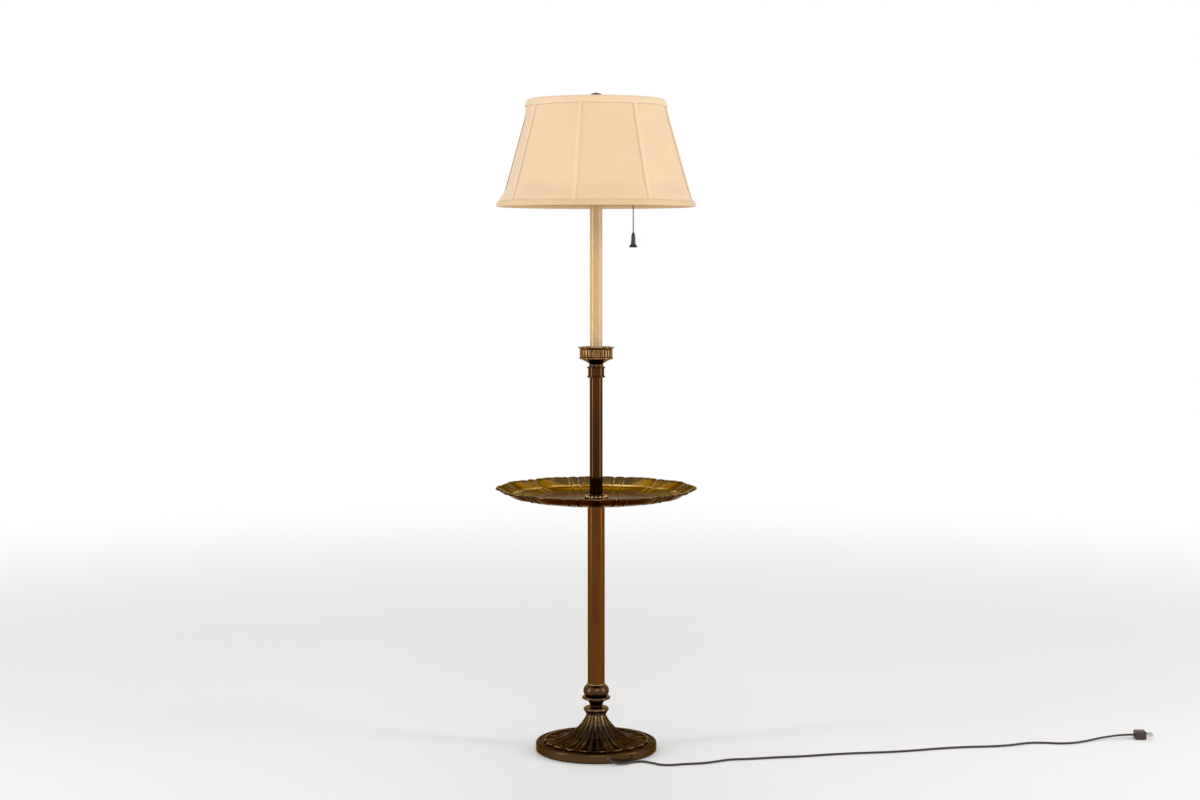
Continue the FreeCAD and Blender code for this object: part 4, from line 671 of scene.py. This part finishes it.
def agedMetal(name, look, shared):
    # clouded patina; turned pieces are rubbed brighter where they stand out furthest
    finish, tree, shader = newFinish(name)
    stretch = look.get("stretch", (1, 1, 1))
    cloud = mottle(tree, look["scale"], stretch=stretch)
    tone = shades(tree, cloud, zip(shared["stops"], (look["dark"], look["mid"], look["light"])))
    wear = mottle(tree, look["scale"] * shared["wearScale"], detail=6.0, stretch=stretch)
    if "rub" in look:
        radius = axisRadius(tree)[3]
        worn = times(tree, fade(tree, radius, *look["rubAt"]), spread(tree, wear, *shared["rubSpread"]))
        tone = blendColours(tree, worn, tone, look["rub"])
    colourAndRoughness(tree, shader, tone, spread(tree, wear, *look["rough"]))
    makeMetallic(shader, look.get("tint", shared["tint"]))
    grain = mottle(tree, look["scale"] * shared["bumpScale"])
    bumpFrom(tree, shader, grain, look["bump"], shared["bumpDepth"])
    return finish


# pairs of places are where a fade starts and is full: from the axis, or for heights from the floor
baseLook = {
    "ridges": 20, "ridgeAngle": bearingAngle(-3.0), "ridgeWide": 0.0019, "grain": 160,
    "dark": (0.015, 0.0095, 0.006), "brown": (0.040, 0.024, 0.0135), "cloud": 26, "stops": (0.30, 0.74),
    "worn": (0.24, 0.135, 0.052), "neck": (0.052, 0.028), "petalIn": (0.092, 0.102),
    "petalOut": (0.116, 0.113), "petalWear": 0.75, "leastWear": 0.12, "ridgeEnd": (0.117, 0.115),
    "wornSpread": (0.2, 1.7),
    "lip": (0.30, 0.20, 0.105), "lipHeight": (0.0228, 0.0238), "lipIn": (0.1095, 0.1125),
    "lipOut": (0.119, 0.117), "lipSpread": (0.1, 1.1),
    "side": (0.105, 0.055, 0.020), "sideDark": (0.044, 0.024, 0.011), "sideFrom": (0.1285, 0.1325),
    "sideHeight": (0.022, 0.012), "sideCloud": 34, "sideSpread": (0.4, 1.3),
    "tint": (0.50, 0.42, 0.34), "rough": (0.18, 0.38), "roughScale": 55, "bump": 0.22, "bumpDepth": 0.0005,
}


def baseFinish(look):
    # dark bronze patina, rubbed through to brass near the neck, at the ridges' ends and on the petal lips
    finish, tree, shader = newFinish("baseBronze")
    x, y, z, radius = axisRadius(tree)
    fromRidge = calc(tree, "SUBTRACT", calc(tree, "ARCTAN2", y, x), look["ridgeAngle"])
    part = calc(tree, "FRACT", times(tree, fromRidge, look["ridges"] / (2 * math.pi)))
    offRidge = calc(tree, "MINIMUM", part, calc(tree, "SUBTRACT", 1.0, part))
    # share of the pitch to distance, so the rubbed line keeps its width towards the neck
    away = times(tree, offRidge, times(tree, radius, 2 * math.pi / look["ridges"]))
    nearness = calc(tree, "SUBTRACT", 1.0, calc(tree, "DIVIDE", away, look["ridgeWide"]))
    ridge = calc(tree, "MAXIMUM", nearness, 0.0)
    grain = mottle(tree, look["grain"], detail=6.0)
    nearLip = times(tree, between(tree, radius, look["petalIn"], look["petalOut"]), look["petalWear"])
    where = calc(tree, "MAXIMUM", fade(tree, radius, *look["neck"]), nearLip)
    where = calc(tree, "MAXIMUM", where, look["leastWear"])
    rub = times(tree, ridge, where, fade(tree, radius, *look["ridgeEnd"]),
                spread(tree, grain, *look["wornSpread"]))
    patina = shades(tree, mottle(tree, look["cloud"]), zip(look["stops"], (look["dark"], look["brown"])))
    tone = blendColours(tree, rub, patina, look["worn"])
    lip = times(tree, fade(tree, z, *look["lipHeight"]), fade(tree, radius, *look["lipIn"]),
                fade(tree, radius, *look["lipOut"]), spread(tree, grain, *look["lipSpread"]))
    tone = blendColours(tree, lip, tone, look["lip"])
    sideCloud = mottle(tree, look["sideCloud"], detail=5.0)
    side = times(tree, fade(tree, radius, *look["sideFrom"]), spread(tree, sideCloud, *look["sideSpread"]))
    brass = blendColours(tree, fade(tree, z, *look["sideHeight"]), look["sideDark"], look["side"])
    tone = blendColours(tree, side, tone, brass)
    rough = spread(tree, mottle(tree, look["roughScale"]), *look["rough"])
    colourAndRoughness(tree, shader, tone, rough)
    makeMetallic(shader, look["tint"])
    bumpFrom(tree, shader, grain, look["bump"], look["bumpDepth"])
    return finish


# heights are over the tray's foot
trayLook = {
    # the floor's colour is lighter and greyer than the wall: partly the brass, partly a painted reflection
    "floor": (0.17, 0.122, 0.080), "wall": (0.112, 0.066, 0.026), "wallFrom": (0.140, 0.150),
    "dull": (0.048, 0.028, 0.012), "dullCloud": 14, "dullSpread": (-0.5, 1.2),
    # line is the colour of a painted highlight on the ledge and the mark round the floor
    "line": (0.55, 0.37, 0.15), "ledgeLow": (0.0088, 0.0100), "ledgeHigh": (0.0116, 0.0104),
    "markIn": (0.1385, 0.1400), "markOut": (0.1430, 0.1415), "markShare": 0.5, "lineCloud": 24,
    "lineSpread": (-1.5, 2.4),
    # crease is the colour of a painted highlight on the folds
    "crease": (0.44, 0.31, 0.13), "creaseWide": 0.0018, "creaseFrom": (0.150, 0.165), "creaseCloud": 70,
    "creaseSpread": (-1.6, 2.3),
    # under and underLight are painted shade on the faces that look down
    "under": (0.026, 0.0095, 0.0035), "underLight": (0.060, 0.024, 0.009), "underCloud": 22,
    "facingDown": (0.02, -0.10),
    "edge": (0.46, 0.34, 0.18), "edgeHeight": (0.0262, 0.0272), "edgeCloud": 80,
    "tint": (0.55, 0.44, 0.32), "rough": (0.08, 0.24), "roughScale": 60,
    "rings": 5200.0, "ringShare": 0.25, "grain": 300, "bump": 0.05, "bumpDepth": 0.0003,
}


def nearCrease(tree, look, shape, x, y, radius):
    # 1 on the folds between lobes, out from where they begin
    pitch = 2 * math.pi / shape["lobes"]
    half = (pitch - math.radians(shape["smallLobe"])) / 2
    turn = calc(tree, "MULTIPLY_ADD", calc(tree, "ARCTAN2", y, x), 1 / pitch, 0.5)
    fromMiddle = calc(tree, "SUBTRACT", calc(tree, "FRACT", turn), 0.5)
    local = calc(tree, "ABSOLUTE", times(tree, fromMiddle, pitch))
    off = times(tree, calc(tree, "ABSOLUTE", calc(tree, "SUBTRACT", local, half)), radius)
    return times(tree, fade(tree, off, look["creaseWide"], 0.0), fade(tree, radius, *look["creaseFrom"]))


def trayFinish(look, shape):
    # greenish brass inside, a darker brown underneath as painted shade, fine rings from use on the floor
    finish, tree, shader = newFinish("trayBrass")
    x, y, z, radius = axisRadius(tree)
    height = calc(tree, "SUBTRACT", z, shape["level"])
    inside = blendColours(tree, fade(tree, radius, *look["wallFrom"]), look["floor"], look["wall"])
    tarnish = spread(tree, mottle(tree, look["dullCloud"], detail=6.0), *look["dullSpread"])
    inside = blendColours(tree, tarnish, inside, look["dull"])
    # the ledge and the mark round the floor stand proud, and get a painted highlight in patches
    ledge = between(tree, height, look["ledgeLow"], look["ledgeHigh"])
    mark = times(tree, between(tree, radius, look["markIn"], look["markOut"]), look["markShare"])
    patches = spread(tree, mottle(tree, look["lineCloud"], detail=5.0), *look["lineSpread"])
    paintedLedgeHighlight = times(tree, calc(tree, "MAXIMUM", ledge, mark), patches)
    inside = blendColours(tree, paintedLedgeHighlight, inside, look["line"])
    # painted highlight along the folds, in patches
    creaseGlintPatches = spread(tree, mottle(tree, look["creaseCloud"], detail=3.0), *look["creaseSpread"])
    fold = times(tree, nearCrease(tree, look, shape, x, y, radius), creaseGlintPatches)
    inside = blendColours(tree, fold, inside, look["crease"])
    shadedUnderside = blendColours(tree, mottle(tree, look["underCloud"]), look["under"], look["underLight"])
    geometry = addNode(tree, "NewGeometry")
    normal = addNode(tree, "SeparateXYZ")
    tree.links.new(geometry.outputs["True Normal"], normal.inputs["Vector"])
    undersideShadeMask = fade(tree, normal.outputs["Z"], *look["facingDown"])
    tone = blendColours(tree, undersideShadeMask, inside, shadedUnderside)
    rim = times(tree, fade(tree, height, *look["edgeHeight"]),
                spread(tree, mottle(tree, look["edgeCloud"]), 0.0, 1.0))
    tone = blendColours(tree, rim, tone, look["edge"])
    rough = spread(tree, mottle(tree, look["roughScale"], detail=8.0), *look["rough"])
    colourAndRoughness(tree, shader, tone, rough)
    makeMetallic(shader, look["tint"])
    rings = calc(tree, "SINE", times(tree, radius, look["rings"]))
    grain = calc(tree, "MULTIPLY_ADD", rings, look["ringShare"], mottle(tree, look["grain"]))
    bumpFrom(tree, shader, grain, look["bump"], look["bumpDepth"])
    return finish


candleLook = {
    "cream": (0.62, 0.385, 0.160), "aged": (0.48, 0.28, 0.105), "ageScale": 9, "ageStretch": (1, 1, 0.3),
    "ageSpread": (-0.5, 0.7), "rough": (0.10, 0.18), "roughScale": 40, "coat": 0.4, "coatRough": 0.08,
    "grain": 120, "bump": 0.05, "bumpDepth": 0.0003,
}


def candleFinish(look):
    # cream enamel, yellowed in long clouds
    finish, tree, shader = newFinish("candleEnamel")
    cloud = mottle(tree, look["ageScale"], detail=5.0, stretch=look["ageStretch"])
    colour = blendColours(tree, spread(tree, cloud, *look["ageSpread"]), look["cream"], look["aged"])
    rough = spread(tree, mottle(tree, look["roughScale"]), *look["rough"])
    colourAndRoughness(tree, shader, colour, rough)
    shader.inputs["Coat Weight"].default_value = look["coat"]
    shader.inputs["Coat Roughness"].default_value = look["coatRough"]
    bumpFrom(tree, shader, mottle(tree, look["grain"]), look["bump"], look["bumpDepth"])
    return finish


# thread is how fine the weave is, slub how much thick threads show
fabricLooks = {
    "shadeFabric": {"light": (0.86, 0.645, 0.412), "dark": (0.78, 0.56, 0.338), "thread": 1150, "slub": 0.5,
                    "sheen": 0.2},
    "liningFabric": {"light": (0.92, 0.76, 0.55), "dark": (0.83, 0.66, 0.45), "thread": 1500, "slub": 0.2,
                     "sheen": 0.15},
    "trimFabric": {"light": (0.89, 0.69, 0.452), "dark": (0.81, 0.60, 0.37), "thread": 900, "slub": 0.35,
                   "sheen": 0.25},
    # the bottom trim's cloth in darker colours: painted shade on the band that faces down
    "shadedBottomTrim": {"light": (0.775, 0.565, 0.335), "dark": (0.70, 0.485, 0.270), "thread": 900,
                   "slub": 0.35, "sheen": 0.2},
}
# what all the fabrics share: reach is the radius at which the warp is spaced like the weft
fabricWeave = {
    "reach": 0.18, "wobble": 0.004, "wobbleScale": 30, "threadTurns": 3.2, "weave": 0.10,
    "slubScale": 60, "slubStretch": (0.6, 0.6, 9.0), "slubShare": 0.55,
    "uprightScale": 70, "uprightStretch": (5.0, 5.0, 0.22), "uprightShare": 1.15, "range": (0.1, 1.5),
    "stainScale": 7, "stain": (0.92, 1.05), "rough": 0.85, "sheenRough": 0.5, "bump": 0.5,
    "bumpDepth": 0.0004,
}


def wovenFinish(name, look, shared):
    # threads run round the shade and up it; slubs thicken some of them
    finish, tree, shader = newFinish(name)
    x, y, z = axisRadius(tree)[:3]
    around = times(tree, calc(tree, "ARCTAN2", y, x), shared["reach"])
    wobble = times(tree, mottle(tree, shared["wobbleScale"]), shared["wobble"])
    turns = look["thread"] * shared["threadTurns"]
    weft = calc(tree, "SINE", times(tree, calc(tree, "ADD", z, wobble), turns))
    warp = calc(tree, "SINE", times(tree, calc(tree, "ADD", around, wobble), turns))
    weave = calc(tree, "MULTIPLY_ADD", weft, 0.5, times(tree, warp, 0.5))
    slub = mottle(tree, shared["slubScale"], detail=3.0, stretch=shared["slubStretch"])
    upright = mottle(tree, shared["uprightScale"], detail=4.0, stretch=shared["uprightStretch"])
    mixed = times(tree, upright, look["slub"] * shared["uprightShare"])
    mixed = calc(tree, "MULTIPLY_ADD", slub, look["slub"] * shared["slubShare"], mixed)
    mixed = calc(tree, "MULTIPLY_ADD", weave, shared["weave"], mixed)
    tone = spread(tree, mixed, 0.0, 1.0)
    low, high = shared["range"]
    tone.node.inputs["From Min"].default_value = low * look["slub"]
    tone.node.inputs["From Max"].default_value = high * look["slub"]
    colour = blendColours(tree, tone, look["dark"], look["light"])
    stain = spread(tree, mottle(tree, shared["stainScale"], detail=3.0), *shared["stain"])
    colour = blendColours(tree, 1.0, colour, stain, "MULTIPLY")
    colourAndRoughness(tree, shader, colour, shared["rough"])
    shader.inputs["Sheen Weight"].default_value = look["sheen"]
    shader.inputs["Sheen Roughness"].default_value = shared["sheenRough"]
    bumpFrom(tree, shader, mixed, shared["bump"], shared["bumpDepth"])
    return finish


plainLooks = {
    "bellBlack": {"light": (0.030, 0.024, 0.020), "dark": (0.012, 0.010, 0.009), "rough": (0.20, 0.36),
                  "scale": 70, "bump": 0.05},
    "cordBrown": {"light": (0.026, 0.013, 0.008), "dark": (0.010, 0.006, 0.004), "rough": (0.46, 0.60),
                  "scale": 60, "bump": 0.08},
    "plugBrown": {"light": (0.042, 0.018, 0.008), "dark": (0.020, 0.009, 0.004), "rough": (0.40, 0.56),
                  "scale": 90, "bump": 0.12},
    "coreBlack": {"light": (0.035, 0.032, 0.030), "dark": (0.018, 0.016, 0.015), "rough": (0.30, 0.50),
                  "scale": 80, "bump": 0.08},
    "linerCard": {"light": (0.26, 0.19, 0.12), "dark": (0.17, 0.12, 0.075), "rough": (0.70, 0.85),
                  "scale": 120, "bump": 0.20},
    "greenFelt": {"light": (0.035, 0.070, 0.045), "dark": (0.018, 0.038, 0.024), "rough": (0.90, 1.0),
                  "scale": 260, "bump": 0.60},
}
# what all the plain ones share; scales are times the piece's own
plainGrain = {"roughScale": 3, "bumpScale": 12, "bumpDepth": 0.0003}


def plainFinish(name, look, shared):
    finish, tree, shader = newFinish(name)
    colour = blendColours(tree, mottle(tree, look["scale"], detail=5.0), look["dark"], look["light"])
    rough = spread(tree, mottle(tree, look["scale"] * shared["roughScale"]), *look["rough"])
    colourAndRoughness(tree, shader, colour, rough)
    grain = mottle(tree, look["scale"] * shared["bumpScale"])
    bumpFrom(tree, shader, grain, look["bump"], shared["bumpDepth"])
    return finish


bulbLook = {"white": (0.90, 0.89, 0.85), "grey": (0.84, 0.83, 0.80), "frost": 220, "rough": (0.22, 0.34),
            "through": 0.35, "bump": 0.06, "bumpDepth": 0.0002}


def bulbFinish(look):
    finish, tree, shader = newFinish("frostedGlass")
    frost = mottle(tree, look["frost"], detail=3.0)
    colour = blendColours(tree, frost, look["white"], look["grey"])
    colourAndRoughness(tree, shader, colour, spread(tree, frost, *look["rough"]))
    shader.inputs["Transmission Weight"].default_value = look["through"]
    bumpFrom(tree, shader, frost, look["bump"], look["bumpDepth"])
    return finish


finishes = {name: agedMetal(name, look, metalWear) for name, look in metalLooks.items()}
finishes.update({name: plainFinish(name, look, plainGrain) for name, look in plainLooks.items()})
finishes.update({name: wovenFinish(name, look, fabricWeave) for name, look in fabricLooks.items()})
finishes["baseBronze"] = baseFinish(baseLook)
finishes["trayBrass"] = trayFinish(trayLook, trayShape)
finishes["candleEnamel"] = candleFinish(candleLook)
finishes["frostedGlass"] = bulbFinish(bulbLook)

nodeFinishes = {
    "base_felt": "greenFelt", "base_casting": "baseBronze", "base_weight": "castIron",
    "base_washer": "brightSteel", "base_locknut": "brightSteel", "cord_bushing": "bushingZinc",
    "lower_pipe": "socketBrass", "upper_pipe": "socketBrass", "pipe_coupling": "socketBrass",
    "spindle": "spindleBronze", "ball": "ballBronze", "seat_ring": "ringBrass",
    "lower_tube": "tubeBrass", "tray_flange": "spindleBronze", "tray": "trayBrass",
    "tray_ring": "upperBrass", "upper_tube": "upperBrass", "collar": "upperBrass",
    "candle_cup": "cupBrass", "candle_tube": "candleEnamel", "candle_cap": "candleEnamel",
    "cluster_body": "socketBrass", "bell_pull": "bellBlack", "shade_riser": "chainBrass",
    "shade_spider": "wirePlated", "shade_bottom_ring": "wirePlated", "shade_ribs": "wirePlated",
    "shade_cover": "shadeFabric", "shade_lining": "liningFabric", "bottom_trim": "shadedBottomTrim",
    "top_trim": "trimFabric", "rib_trims": "trimFabric", "finial": "finialBronze",
    "power_cord": "cordBrown", "inner_cord": "cordBrown", "plug_body": "plugBrown",
    "plug_blades": "brightSteel",
}
sideFinishes = {
    "arm": "socketBrass", "socket_cap": "socketBrass", "socket_shell": "socketBrass",
    "socket_liner": "linerCard", "socket_core": "coreBlack", "screw_shell": "brightSteel",
    "bulb_base": "brightSteel", "bulb_glass": "frostedGlass", "spout": "socketBrass",
    "switch_chain": "chainBrass", "chain": "chainBrass",
}
for side in ("right", "left"):
    for piece, finish in sideFinishes.items():
        nodeFinishes[side + "_" + piece] = finish
for node, finish in nodeFinishes.items():
    held = nodes[node].data.materials
    held.clear()
    held.append(finishes[finish])
pieceFinishes = [
    (powerCord, "cordBrown"), (candleCup, "cupBrass"), (trayDish, "trayBrass"),
    (spindleBeads, "spindleBronze"), (trayRingBeads, "ringBrass"), (chains[0], "chainBrass"),
    (chains[1], "chainBrass"), (shadeCover, "shadeFabric"), (shadeLining, "liningFabric"),
    (bottomTrim, "shadedBottomTrim"), (topTrim, "trimFabric"), (ribTrims, "trimFabric"),
]
for piece, finish in pieceFinishes:
    piece.data.materials.append(finishes[finish])
print("finishes given to", len(nodeFinishes), "nodes and", len(pieceFinishes), "pieces")

# the world lights things at its strength and shows white; lamps are place, width, height and power
studio = {
    "world": 0.56, "floor": (0.86, 0.85, 0.84), "paler": 0.02, "floorCloud": 3, "floorRough": 0.9,
    "half": 30, "drop": 0.0004, "fade": (1.1, 4.5), "aim": (0, 0, 0.9),
    "lamps": [((-3.0, -1.1, 1.4), 0.55, 2.6, 34), ((3.0, -0.9, 1.4), 0.55, 2.6, 34),
              ((0.5, -4.6, 3.0), 2.4, 1.8, 66), ((0.0, 2.6, 3.2), 2.4, 1.6, 26)],
}


def shownWhite(tree):
    # 1 where the camera, a reflection or glass looks, 0 for the light that falls on things
    path = addNode(tree, "LightPath")
    mirrored = calc(tree, "MAXIMUM", path.outputs["Is Glossy Ray"], path.outputs["Is Transmission Ray"])
    return calc(tree, "MAXIMUM", path.outputs["Is Camera Ray"], mirrored)


def mixSurfaces(tree, factor, first, second, output):
    mix = addNode(tree, "MixShader")
    for socket, value in zip(mix.inputs, (factor, first, second)):
        tree.links.new(value, socket)
    tree.links.new(mix.outputs[0], output.inputs["Surface"])


def makeWorld(look):
    world = bpy.data.worlds.new("studio")
    scene.world = world
    world.use_nodes = True
    tree = world.node_tree
    tree.nodes.clear()
    output = tree.nodes.new("ShaderNodeOutputWorld")
    soft = addNode(tree, "Background")
    soft.inputs["Strength"].default_value = look["world"]
    white = addNode(tree, "Background")
    for light in (soft, white):
        light.inputs["Color"].default_value = (1, 1, 1, 1)
    mixSurfaces(tree, shownWhite(tree), soft.outputs[0], white.outputs[0], output)


def makeFloor(look):
    far, low = look["half"], -look["drop"]
    corners = [(-far, -far, low), (far, -far, low), (far, far, low), (-far, far, low)]
    floor = meshObject("studioFloor", corners, [(0, 1, 2, 3)], smooth=False)
    finish, tree, shader = newFinish("studioFloor")
    paler = tuple(part + look["paler"] for part in look["floor"])
    colour = shades(tree, mottle(tree, look["floorCloud"]), [(0.0, look["floor"]), (1.0, paler)])
    colourAndRoughness(tree, shader, colour, look["floorRough"])
    # the floor runs out into the white behind, away from the object and its shadow
    glow = addNode(tree, "Emission")
    away = times(tree, fade(tree, axisRadius(tree)[3], *look["fade"]), shownWhite(tree))
    output = next(node for node in tree.nodes if node.bl_idname == "ShaderNodeOutputMaterial")
    mixSurfaces(tree, away, shader.outputs["BSDF"], glow.outputs[0], output)
    floor.data.materials.append(finish)


def makeLamps(look):
    for index, (spot, wide, tall, power) in enumerate(look["lamps"]):
        data = bpy.data.lights.new("softLamp" + str(index), "AREA")
        data.shape = "RECTANGLE"
        data.size = wide
        data.size_y = tall
        data.energy = power
        lamp = bpy.data.objects.new(data.name, data)
        lamp.location = spot
        lamp.rotation_euler = (Vector(look["aim"]) - Vector(spot)).to_track_quat("-Z", "Y").to_euler()
        scene.collection.objects.link(lamp)


makeWorld(studio)
makeFloor(studio)
makeLamps(studio)
scene.view_settings.view_transform = "Standard"
print("studio lit")
